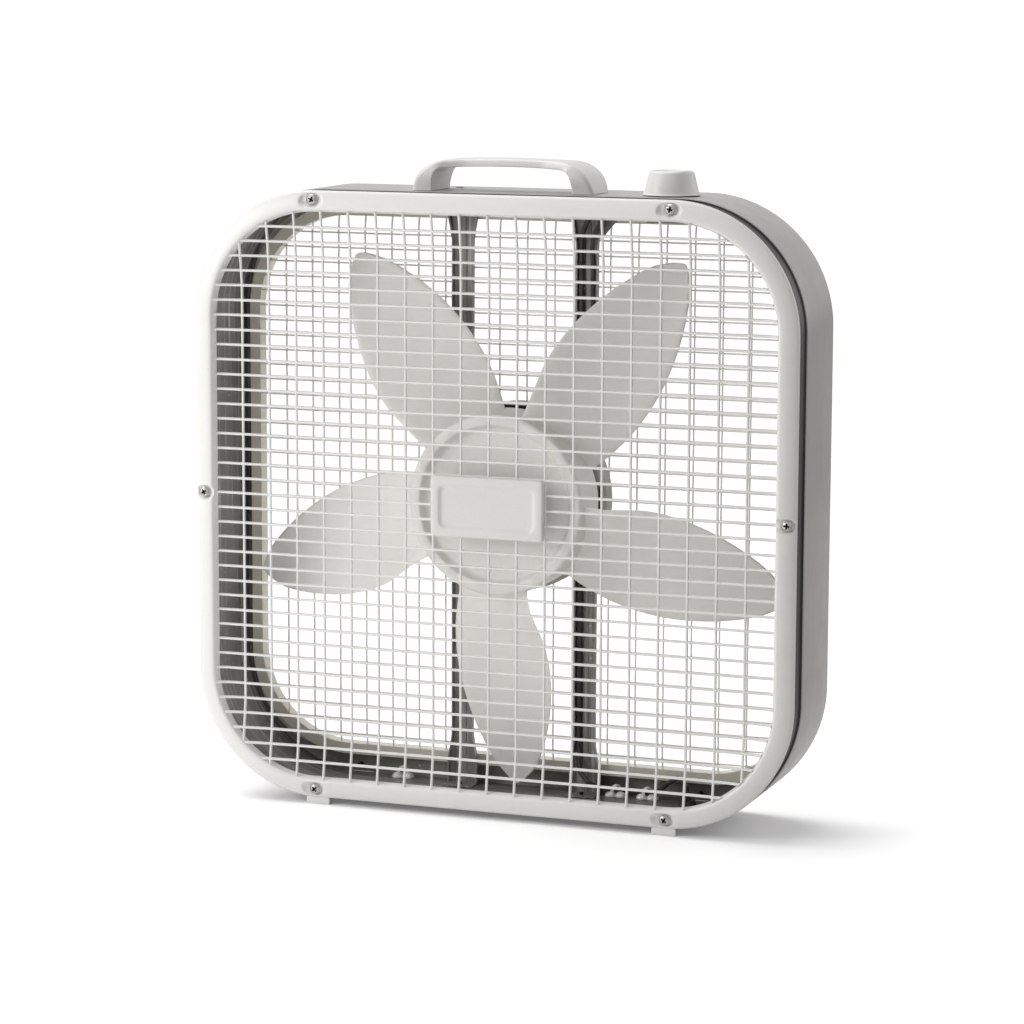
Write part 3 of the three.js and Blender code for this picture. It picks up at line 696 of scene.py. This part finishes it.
def bend(radius, y, inner, start, end, steps=6):
    """Arc of the bend at the rear edge: (inset, y) from start to end, in quarter turns."""
    reach = radius - inner
    quarters = [start + (end - start) * k / steps for k in range(steps + 1)]
    return [(radius - reach * math.cos(t * math.pi / 2), y - radius + reach * math.sin(t * math.pi / 2))
            for t in quarters]


def housing_band():
    """Bent sheet: narrower neck behind the bezel, a step, the wide painted stretch and a flat rear flange."""
    neck_front, back, sheet = band_low.y, band_high.y, 1.0
    step = neck_front + 22.6
    neck = [(12.0, neck_front), (2.8, neck_front), (2.2, neck_front + 0.6), (2.2, step - 1.2),
            (2.0, step - 0.5), (0.8, step + 0.1)]
    painted = [(0.15, step + 0.6), (0.0, step + 1.4)] + bend(1.6, back, 0.0, 0, 1)
    bare = bend(1.6, back, sheet, 1, 0) + [
        (1.0, back - 9.0), (1.0, step + 1.9), (1.3, step + 1.2), (2.8, step + 0.5), (3.2, step - 0.3),
        (3.2, neck_front + 1.5), (3.7, neck_front + 1.0), (12.0, neck_front + 1.0)]
    profile = on_outline(BODY, neck + painted)
    profile += on_outline(REAR_FLANGE, [(0.0, back), (0.0, back - sheet)]) + on_outline(BODY, bare)
    last_painted = len(neck) + len(painted)
    last_hem = last_painted + 9
    paint, steel, neck_shade_steel, hem = range(4)

    def material(k):
        # Neck faces take the darker neck steel, painted shade of the groove behind the bezel.
        if k < len(neck) - 1:
            return neck_shade_steel
        if k < last_painted:
            return paint
        # The flange, the inner rear bend and the rear end of the inner wall take the darker hem steel,
        # painted shade.
        return hem if k < last_hem else steel

    bm = bmesh.new()
    sweep(bm, stations(BODY), profile, material=material)
    materials = [BAND_PAINT, BAND_STEEL, NECK_SHADE_STEEL, HEM_SHADE_STEEL]
    return make_piece("body_band", bm, materials, "housing", ["housing_band"], 40)


housing_band()

# -------- badge


def badge():
    """A plain raised plate with a sunk soft-edged panel, blank."""
    half_x, half_z = badge_high.x, badge_high.z
    bm = bmesh.new()
    places = stations((half_x, half_z, 3.0), coarse=6, arc=0.6)
    rings = []
    for inset, depth, radius in (
            (0.0, badge_high.y - FRONT, 3.0), (0.0, 1.2, 3.0), (0.35, 0.4, 2.8), (1.2, 0.0, 2.4),
            (6.2, 0.0, 6.5), (7.2, 0.35, 6.0), (8.1, 1.2, 5.4), (9.0, 1.75, 5.0), (10.5, 1.9, 4.4),
            (16.0, 1.9, 3.0)):
        outline = (half_x - inset, half_z - inset, radius)
        points = [outline_point(outline, piece, share)[0] for piece, share in places]
        rings.append([bm.verts.new((point.x, FRONT + depth, point.y)) for point in points])
    loft(bm, rings, capped=True)
    return make_piece("badge", bm, [BADGE_WHITE], "housing", ["badge_plate"], 60)


badge()

# -------- propeller

BLADES = 5
FIRST_BLADE = 54
ROOT, TIP = 74.0, 248.0
BLADE_SHEET = 2.4
# Edges of a blade: (radius, distance along the arc from the blade's middle line).
LEADING = [(75, -43), (95, -48.5), (125, -52.5), (160, -49.5), (195, -38.5), (228, -21), (243, -8), (248, -1)]
TRAILING = [(75, 26), (95, 30.5), (130, 40.5), (165, 41), (200, 33.5), (230, 21), (243, 9), (248, 1)]


def smooth_at(points, position):
    """Catmull-Rom interpolation of (position, value) points."""
    last = len(points) - 1
    i = 0
    while i < last - 1 and points[i + 1][0] < position:
        i += 1
    (x1, y1), (x2, y2) = points[i], points[i + 1]
    x0, y0 = points[i - 1] if i > 0 else (2 * x1 - x2, 2 * y1 - y2)
    x3, y3 = points[i + 2] if i + 2 <= last else (2 * x2 - x1, 2 * y2 - y1)
    t = clamp((position - x1) / (x2 - x1))
    slope1 = (y2 - y0) / (x2 - x0) * (x2 - x1)
    slope2 = (y3 - y1) / (x3 - x1) * (x2 - x1)
    t2, t3 = t * t, t * t * t
    return ((2 * t3 - 3 * t2 + 1) * y1 + (t3 - 2 * t2 + t) * slope1 + (3 * t2 - 2 * t3) * y2
            + (t3 - t2) * slope2)


def blade_point(radius, across, side):
    """Point of a blade: across runs from the leading (0) to the trailing edge (1), side is -1 or 1."""
    lead, trail = smooth_at(LEADING, radius), smooth_at(TRAILING, radius)
    chord = trail - lead
    angle = (lead + chord * across) / radius
    bow = 4 * across * (1 - across)
    leading_depth = 3.8 + 0.117 * (radius - 95)
    trailing_depth = -28.8 + 0.321 * max(0.0, radius - 95)
    depth = leading_depth + (trailing_depth - leading_depth) * across + 0.05 * chord * bow
    half = BLADE_SHEET / 2 * min(1.0, bow * 5) ** 0.5
    root = max(0.0, 1 - (radius - ROOT) / 9.0)
    half += 1.8 * root * root * min(1.0, bow * 3)
    return Vector((radius * math.cos(angle), depth + side * half, radius * math.sin(angle)))


def add_blade(bm, turn):
    strips, stops = 20, 34
    shares = [0.5 - 0.5 * math.cos(math.pi * j / strips) for j in range(strips + 1)]
    spin = Matrix.Rotation(-turn, 3, "Y")
    around = [(share, -1) for share in shares] + [(share, 1) for share in shares[-2:0:-1]]
    rings = []
    for i in range(stops + 1):
        radius = ROOT + (TIP - 0.3 - ROOT) * math.sin(i / stops * math.pi / 2) ** 0.9
        rings.append([bm.verts.new(spin @ blade_point(radius, share, side)) for share, side in around])
    loft(bm, rings, capped=True)


def propeller():
    front = node_box("propeller")[0].y
    rim, back, floor, bore = 77.1, 6.0, -29.4, 4.3
    bm = bmesh.new()
    lathe(bm, rounded_points([
        (bore, floor), (64.0, floor, 4), (67.0, front, 2.4), (rim - 0.8, front, 3.6), (rim, back, 0.8),
        (rim - 2.4, back, 0.8), (rim - 3.2, front + 4, 2), (68.6, front + 2.4, 2), (65.4, floor + 2.4, 3),
        (11.0, floor + 2.4, 2), (11.0, -9.0, 1), (bore, -9.0),
    ], 6), 120)
    for i in range(BLADES):
        add_blade(bm, math.radians(FIRST_BLADE + i * 360 / BLADES))
    return make_piece("propeller_moulding", bm, [BLADE_GREY], "fan", ["propeller"], 40)


propeller()

# -------- motor


def motor_cover():
    """A pressed drum with rounded shoulder and cooling slots."""
    low, high = node_box("motor_cover")
    front, back, radius = low.y, high.y, high.x
    bm = bmesh.new()
    lathe(bm, rounded_points([
        (41.0, front), (70.0, front, 3), (76.5, front + 1.2, 2), (radius, front + 5.5, 3), (radius, back),
        (radius - 1.6, back), (radius - 1.6, front + 6, 2), (75.5, front + 3.0, 2), (69.5, front + 1.6, 2),
        (41.0, front + 1.6),
    ], 5), 120)
    # A black ring behind the cooling slots stands in for the shade inside the drum: painted shade.
    shade_ring = bmesh.new()
    lathe(shade_ring, [(66.0, front + 4.2), (78.0, front + 4.2), (78.0, front + 14.0), (77.2, front + 14.0),
                   (77.2, front + 5.0), (66.0, front + 5.0)], 96)
    make_piece("motor_cover_shade_ring", shade_ring, [BLACK], "housing")
    piece = make_piece("motor_cover_pressing", bm, [COVER_PAINT], "housing", ["motor_cover"])
    cutters = bmesh.new()
    for k in range(8):
        turned_block(cutters, 45 * k, (-13, front - 2, 73.6), (13, front + 8, 77.6), 1.4)
    cutter = add_object("cutters", as_mesh("cutters", cutters))
    boolean = piece.modifiers.new("slots", "BOOLEAN")
    boolean.operation = "DIFFERENCE"
    boolean.solver = "EXACT"
    boolean.object = cutter
    apply_modifiers(piece)
    bpy.data.objects.remove(cutter)
    piece.data.set_sharp_from_angle(angle=math.radians(32))


def apply_modifiers(piece):
    bpy.context.view_layer.update()
    graph = bpy.context.evaluated_depsgraph_get()
    mesh = bpy.data.meshes.new_from_object(piece.evaluated_get(graph))
    piece.modifiers.clear()
    piece.data = mesh


def front_bell():
    low, high = node_box("motor_front_bell")
    bm = bmesh.new()
    front, back = low.y, high.y
    lathe(bm, rounded_points([
        (4.5, front), (32.0, front, 3), (38.0, front + 4, 3), (38.0, back), (36.4, back),
        (36.4, front + 5, 2), (31.0, front + 1.6, 2), (13.6, front + 1.6), (13.6, front + 6),
        (11.3, front + 6), (11.3, front + 0.8), (4.5, front + 0.8),
    ], 4), 64)
    return make_piece("front_bell_casting", bm, [ALLOY], "housing", ["motor_front_bell"])


def rear_bell():
    """Rear bell with its mounting plate; ribs run out from the bearing boss."""
    low, high = node_box("motor_rear_bell")
    plate_front, back = low.y, high.y
    bm = bmesh.new()
    block(bm, (low.x, plate_front, -22), (high.x, plate_front + 1, 22), 0.45)
    lathe(bm, rounded_points([
        (4.5, back), (13.0, back, 1.5), (14.5, back - 1.6, 1), (33.0, back - 2.0, 3),
        (38.0, plate_front + 1.5, 2), (38.0, plate_front), (36.4, plate_front), (36.4, back - 5, 2),
        (31.0, back - 3.6, 2), (13.6, back - 3.6), (13.6, back - 6), (11.3, back - 6), (11.3, back - 0.8),
        (4.5, back - 0.8),
    ], 4), 64)
    for k in range(8):
        turned_block(bm, 45 * k + 22.5, (15, back - 3.0, -1.1), (32, back - 1.2, 1.1), 0.4)
    return make_piece("rear_bell_casting", bm, [ALLOY], "housing", ["motor_rear_bell"])


motor_cover()
front_bell()
rear_bell()

# -------- struts


def strut(name, side):
    """Pressed channel with a raised centre rib, flared ends and feet bent forward against the band."""
    low, high = node_box(name)
    front, back, top = 34.1, high.y, high.z
    centre_x = STRUT_X * side
    half, sheet, rib = 9.5, 1.2, 2.2
    middle = (front + back) / 2 + 1
    bm = bmesh.new()

    def section(z):
        width = half + 4.0 * smooth(clamp((abs(z) - (top - 46)) / 30))
        return rounded_points([
            (-width, front), (-width + sheet, front), (-width + sheet, back - sheet, 1.2),
            (-rib - 0.8, back - sheet, 1.0), (-rib, middle, 1.0), (rib, middle, 1.0),
            (rib + 0.8, back - sheet, 1.0), (width - sheet, back - sheet, 1.2), (width - sheet, front),
            (width, front), (width, back, 1.4), (rib + 2.0, back, 0.8), (rib + 1.2, middle + sheet, 0.8),
            (-rib - 1.2, middle + sheet, 0.8), (-rib - 2.0, back, 0.8), (-width, back, 1.4),
        ], 3)

    levels = [-top + 2 * top * k / 60 for k in range(61)]
    rings = [[bm.verts.new((centre_x + p.x, p.y, z)) for p in section(z)] for z in levels]
    loft(bm, rings, capped=True)
    for end in (-1, 1):
        z0, z1 = sorted((end * top, end * (top - sheet)))
        block(bm, (centre_x - 13.5, low.y, z0), (centre_x + 13.5, back, z1), 0.4)
    if side > 0:
        gusset(bm, centre_x + 10.6, back, top)
    return make_piece(name + "_pressing", bm, [STRUT_STEEL], "housing", [name])


def gusset(bm, x, back, top):
    """Three-cornered stiffener beside the strut's upper end."""
    corners = [(x, top - 1.3), (x + 33.0, top - 1.3), (x, top - 40.0)]
    rings = [[bm.verts.new((a, y, b)) for a, b in corners] for y in (back - 1.2, back)]
    loft(bm, rings, capped=True)


strut("strut_left", -1)
strut("strut_right", 1)

# -------- fasteners


def cross_screw(bm, head, height, shank, length, matrix):
    """Pan head with a cross recess, rolled edge and threaded shank, head towards -Y."""
    start, first_face = len(bm.verts), len(bm.faces)
    segments, pitch, recess, wide = 48, 0.45, 1.5, 0.17

    def dome(share):
        return height * (1 - share ** 3.2 * 0.75)

    rings = []
    for share in (0.12, 0.25, 0.36, 0.47, 0.58, 0.7, 0.82, 0.91, 0.97, 1.0):
        ring = []
        for angle in turns(segments):
            across, up = math.cos(angle), math.sin(angle)
            arm = abs(math.sin(2 * angle)) * share
            in_cross = max(0.0, 1 - (min(abs(up), abs(across)) * share / wide) ** 2)
            depth = recess * in_cross * clamp((0.62 - share) / 0.12) * (1 - 0.3 * arm)
            ring.append(bm.verts.new((head * share * across, depth - dome(share), head * share * up)))
        rings.append(ring)
    centre = bm.verts.new((0, -height + recess, 0))
    for k in range(segments):
        bm.faces.new((centre, rings[0][k], rings[0][(k + 1) % segments]))
    rows = [(head, -height * 0.2), (head * 0.97, 0.0), (shank, 0.0)]
    rows += [(shank * (0.86 if t % 2 else 1.0), 0.4 + t * pitch) for t in range(int(length / pitch))]
    for radius, y in rows + [(shank * 0.3, length)]:
        rings.append([bm.verts.new((radius * math.cos(a), y, radius * math.sin(a))) for a in turns(segments)])
    loft(bm, rings)
    bm.faces.new(rings[-1])
    bm.faces.ensure_lookup_table()
    for face in bm.faces[first_face:]:
        middle = face.calc_center_median()
        share = math.hypot(middle.x, middle.z) / head
        sunk = middle.y + dome(share)
        # Faces sunk in the cross recess take the second material, the near-black painted shade.
        face.material_index = 1 if share < 0.7 and sunk > 0.45 else 0
    turn_new(bm, start, matrix)


def grille_screws():
    head_height = 2.1
    for group in ("front", "rear"):
        for number in range(1, 7):
            node = f"{group}_screw_{number}"
            low, high = node_box(node)
            middle = (low + high) / 2
            seat = low.y + head_height if group == "front" else high.y - head_height
            half_turn = Matrix.Rotation(math.pi if group == "rear" else 0, 4, "Z")
            twist = Matrix.Rotation(random.uniform(0, math.pi / 2), 4, "Y")
            bm = bmesh.new()
            cross_screw(bm, 4.4, head_height, 1.8, 9.0,
                        Matrix.Translation((middle.x, seat, middle.z)) @ half_turn @ twist)
            make_piece(node + "_head", bm, [ZINC, RECESS_SHADE], "housing", [node], 28)


def strut_screws():
    for i in range(1, 5):
        node = f"strut_screw_{i}"
        low, high = node_box(node)
        middle = (low + high) / 2
        up = middle.z > 0
        seat = high.z - 1.8 if up else low.z + 1.8
        tip = Matrix.Rotation(math.radians(-90 if up else 90), 4, "X")
        bm = bmesh.new()
        cross_screw(bm, 3.6, 1.0, 1.8, 5.0, Matrix.Translation((middle.x, middle.y, seat)) @ tip)
        make_piece(node + "_head", bm, [BAND_PAINT, RECESS_SHADE], "housing", [node], 28)


grille_screws()
strut_screws()

# -------- knob and handle


def knob():
    """Moulded knob: tapered skirt with two shallow finger facets and a softly rounded top."""
    low, high = node_box("knob")
    base, height = low.z, high.z - low.z
    centre = (low + high) / 2
    radius, top = high.x - centre.x, 17.8
    profile = rounded_points([
        (0.0, height - 0.8), (top - 5.0, height - 0.8, 2), (top - 4.0, height, 0.8),
        (top + 0.6, height, 5.0), (radius - 0.9, 1.6, 2), (radius, 0.6, 0.4), (radius, 0.0, 0.2),
        (13.0, 0.0), (13.0, 9.0, 1), (3.3, 9.0), (3.3, height - 4), (0.0, height - 4),
    ], 5)
    bm = bmesh.new()
    lathe(bm, profile, 144, (centre.x, centre.y, base), "Z")
    for vertex in bm.verts:
        flat = Vector((vertex.co.x - centre.x, vertex.co.y - centre.y))
        level = vertex.co.z - base
        if flat.length < 13.5 or level < 2.0 or level > height - 0.3:
            continue
        angle = math.degrees(math.atan2(flat.y, flat.x))
        for facet in (-148, -32, 90):
            away = abs((angle - facet + 180) % 360 - 180)
            lean = min(1.0, (level - 2) / 5)
            flat *= 1 - 0.045 * smooth(max(0.0, 1 - away / 30)) * lean
        vertex.co.x, vertex.co.y = centre.x + flat.x, centre.y + flat.y
    return make_piece("knob_moulding", bm, [WHITE], "knob", ["knob"], 40)


def bezier(points, share):
    """Point on a Bezier curve of any order."""
    points = [Vector(p) for p in points]
    while len(points) > 1:
        points = [a.lerp(b, share) for a, b in zip(points, points[1:])]
    return points[0]


def handle():
    """A bow of rounded box section: a slim grip that spreads into two broad feet."""
    low, high = node_box("handle")
    base, height = low.z, high.z - low.z
    foot, inner, grip = high.x, high.x - 18.5, 7.4

    def line(end, rise, top, crest, t):
        """One side of the bow from the left foot (0) to the right foot (1)."""
        leg = 0.3
        if t < leg:
            return bezier([(-end, 0), (-end + rise[0], top * 0.45), (-end + rise[1], top - rise[1] * 0.2),
                           (-end + rise[2], top)], t / leg)
        if t > 1 - leg:
            mirrored = line(end, rise, top, crest, 1 - t)
            return Vector((-mirrored.x, mirrored.y))
        return bezier([(-end + rise[2], top), (0, crest), (end - rise[2], top)], (t - leg) / (1 - 2 * leg))

    def half_depth(x):
        flat = 13.5 + 10.5 * smooth(clamp((abs(x) - 30) / 34))
        past = max(0.0, abs(x) - foot + 9) / 10
        return flat - 6 * (1 - math.sqrt(max(0.0, 1 - past * past)))

    bm = bmesh.new()
    steps = 96
    rings = []
    for i in range(steps + 1):
        t = i / steps
        outer = line(foot, (2.0, 9.5, 29), height - 1.6, height + 1.4, t)
        within = line(inner, (0.3, 1.4, 9.5), height - grip - 0.8, height - grip + 2.2, t)
        thick = (outer - within).length
        depth = half_depth(outer.x)
        outside, inside = min(4.6, thick * 0.48), min(1.2, thick * 0.3)
        section = rounded_points([
            (-depth, 0, inside), (-depth, thick, outside), (depth, thick, outside), (depth, 0, inside)], 7)
        places = [(across, within.lerp(outer, up / thick)) for across, up in section]
        rings.append([bm.verts.new((place.x, across, base + place.y)) for across, place in places])
    loft(bm, rings, capped=True)
    return make_piece("handle_moulding", bm, [WHITE], "housing", ["handle"], 50)


knob()
handle()

# -------- lead clips


def lead_clip(node):
    """A milky saddle: a two-lobed foot and an open loop round the lead."""
    centre = middle_of(node)
    base = node_box(node)[0].z
    bm = bmesh.new()
    for lobe in (-1, 1):
        profile = [(0.0, 0.0), (5.2, 0.0), (5.6, 0.8), (5.0, 2.4), (3.4, 4.2), (1.5, 5.0), (0.0, 5.1)]
        lathe(bm, profile, 28, (centre.x + 4.6 * lobe, centre.y, base), "Z")
    ring_radius, wire = 4.3, 1.1
    slant = math.radians(38)
    rings = []
    for a in turns(40):
        ring = []
        for b in turns(12):
            r = ring_radius + wire * math.cos(b)
            side, thick = r * math.cos(a), 1.8 * wire * math.sin(b)
            ring.append(bm.verts.new((centre.x + thick * math.cos(slant) + side * math.sin(slant),
                                      centre.y + side * math.cos(slant) - thick * math.sin(slant),
                                      base + 5.4 + r * math.sin(a))))
        rings.append(ring)
    loft(bm, rings, loop=True)
    return make_piece(node + "_moulding", bm, [CLEAR], "housing", [node], 50)


for number in (1, 2, 3):
    lead_clip(f"lead_clip_{number}")

# -------- finishes of the CAD nodes that stay

for entry in frame["record"]["subparts"]:
    node = nodes[entry["node"]]
    node.data.materials.clear()
    node.data.materials.append(SLOT_MATERIALS[entry["material_slot"]])

# -------- stage, light and camera

PLAIN_LIGHT = (1, 1, 1, 1)
FLOOR_SEEN, FLOOR_GLOW = (1.1, 1.1, 1.1, 1), 0.125  # as the view sees it
FLOOR_LEFT, FLOOR_RIGHT = 1.0, 0.42  # share of the light that it throws back at FLOOR_FADE
FLOOR_FADE = (0.1, 0.6)  # metres along X
LIGHT_BY_X, LIGHT_BY_Y = (0.15, 0.08), (0.31, 0.10)  # of the surroundings, at both ends of an axis
MIRRORED_LIGHT = 0.7
KEY_POWER, RIM_POWER, SUN_POWER = 14, 7, 1.8
LENS, SENSOR = 123.15234375, 36  # millimetres


def by_ray(tree, ray, usual, special):
    """Shader for most rays, and a special one for one kind of ray."""
    path = add_node(tree, "LightPath")
    return add_node(tree, "MixShader", {0: path.outputs[ray], 1: usual.outputs[0], 2: special.outputs[0]})


def studio_floor():
    """A wide pale floor. Only the view sees it at full brightness, so that it throws less light upwards."""
    bm = bmesh.new()
    loft(bm, [[bm.verts.new((radius * math.cos(a), radius * math.sin(a), 0)) for a in turns(96)]
              for radius in (0.0001, 0.6, 1.5, 4.0, 14.0, 90.0)])
    bmesh.ops.recalc_face_normals(bm, faces=bm.faces)
    floor = add_object("studio_floor", as_mesh("studio_floor", bm, Matrix.Identity(4)))
    material = bpy.data.materials.new("studio_floor")
    material.use_nodes = True
    tree = material.node_tree
    tree.nodes.remove(tree.nodes["Principled BSDF"])
    axes = add_node(tree, "SeparateXYZ", {0: add_node(tree, "NewGeometry").outputs["Position"]})
    fall = add_node(tree, "MapRange", {
        "Value": axes.outputs["X"], "From Min": FLOOR_FADE[0], "From Max": FLOOR_FADE[1],
        "To Min": FLOOR_LEFT, "To Max": FLOOR_RIGHT,
    })
    dim = add_node(tree, "BsdfDiffuse", {"Color": fall.outputs[0]})
    bright = add_node(tree, "BsdfDiffuse", {"Color": FLOOR_SEEN})
    glow = add_node(tree, "Emission", {"Strength": FLOOR_GLOW})
    seen = add_node(tree, "AddShader", {0: bright.outputs[0], 1: glow.outputs[0]})
    mix = by_ray(tree, "Is Camera Ray", dim, seen)
    tree.links.new(mix.outputs[0], tree.nodes["Material Output"].inputs["Surface"])
    floor.data.materials.append(material)


def studio_world():
    """White to the view, dimmer in reflections, and as light a little stronger from the front and left."""
    world = bpy.data.worlds.new("studio")
    world.use_nodes = True
    bpy.context.scene.world = world
    tree = world.node_tree
    axes = add_node(tree, "SeparateXYZ", {0: add_node(tree, "TexCoord").outputs["Generated"]})
    side, front = [add_node(tree, "MapRange", {
        "Value": axes.outputs[axis], "From Min": -1, "To Min": ends[0], "To Max": ends[1],
    }) for axis, ends in (("X", LIGHT_BY_X), ("Y", LIGHT_BY_Y))]
    total = add_node(tree, "Math", {0: side.outputs[0], 1: front.outputs[0]})
    light = tree.nodes["Background"]
    light.inputs["Color"].default_value = PLAIN_LIGHT
    tree.links.new(total.outputs[0], light.inputs["Strength"])
    mirrored = add_node(tree, "Background", {"Color": PLAIN_LIGHT, "Strength": MIRRORED_LIGHT})
    seen = add_node(tree, "Background", {"Color": PLAIN_LIGHT})
    mix = by_ray(tree, "Is Camera Ray", by_ray(tree, "Is Glossy Ray", light, mirrored), seen)
    tree.links.new(mix.outputs[0], tree.nodes["World Output"].inputs["Surface"])


def soft_light(name, place, target, size, power):
    data = bpy.data.lights.new(name, "AREA")
    data.shape = "RECTANGLE"
    data.size = data.size_y = size
    data.energy = power
    light = add_object(name, data)
    light.location = place
    light.rotation_euler = (Vector(target) - Vector(place)).to_track_quat("-Z", "Y").to_euler()


def studio_lights():
    soft_light("key", (-1.35, -1.15, 0.85), (-0.05, 0, 0.25), 0.9, KEY_POWER)
    soft_light("rim", (1.5, 1.1, 0.9), (0.2, 0, 0.25), 1.2, RIM_POWER)
    sun = bpy.data.lights.new("overhead", "SUN")
    sun.energy = SUN_POWER
    sun.angle = math.radians(50)
    light = add_object("overhead", sun)
    light.rotation_euler = Vector((0.35, -0.15, -1)).to_track_quat("-Z", "Y").to_euler()


def camera():
    data = bpy.data.cameras.new("camera")
    data.sensor_width = SENSOR
    data.lens = LENS
    data.clip_end = 200
    right = Vector((0.93807, 0.34644, 0.00296))
    up = Vector((-0.05627, 0.14393, 0.98800))
    back = Vector((0.34185, -0.92697, 0.15451))
    eye = add_object("camera", data)
    turn = Matrix((right, up, back)).transposed().to_4x4()
    eye.matrix_world = Matrix.Translation((1.0077, -2.7257, 0.7078)) @ turn
    bpy.context.scene.camera = eye


studio_floor()
studio_world()
studio_lights()
camera()
bpy.context.scene.view_settings.view_transform = "Standard"

bpy.context.view_layer.update()
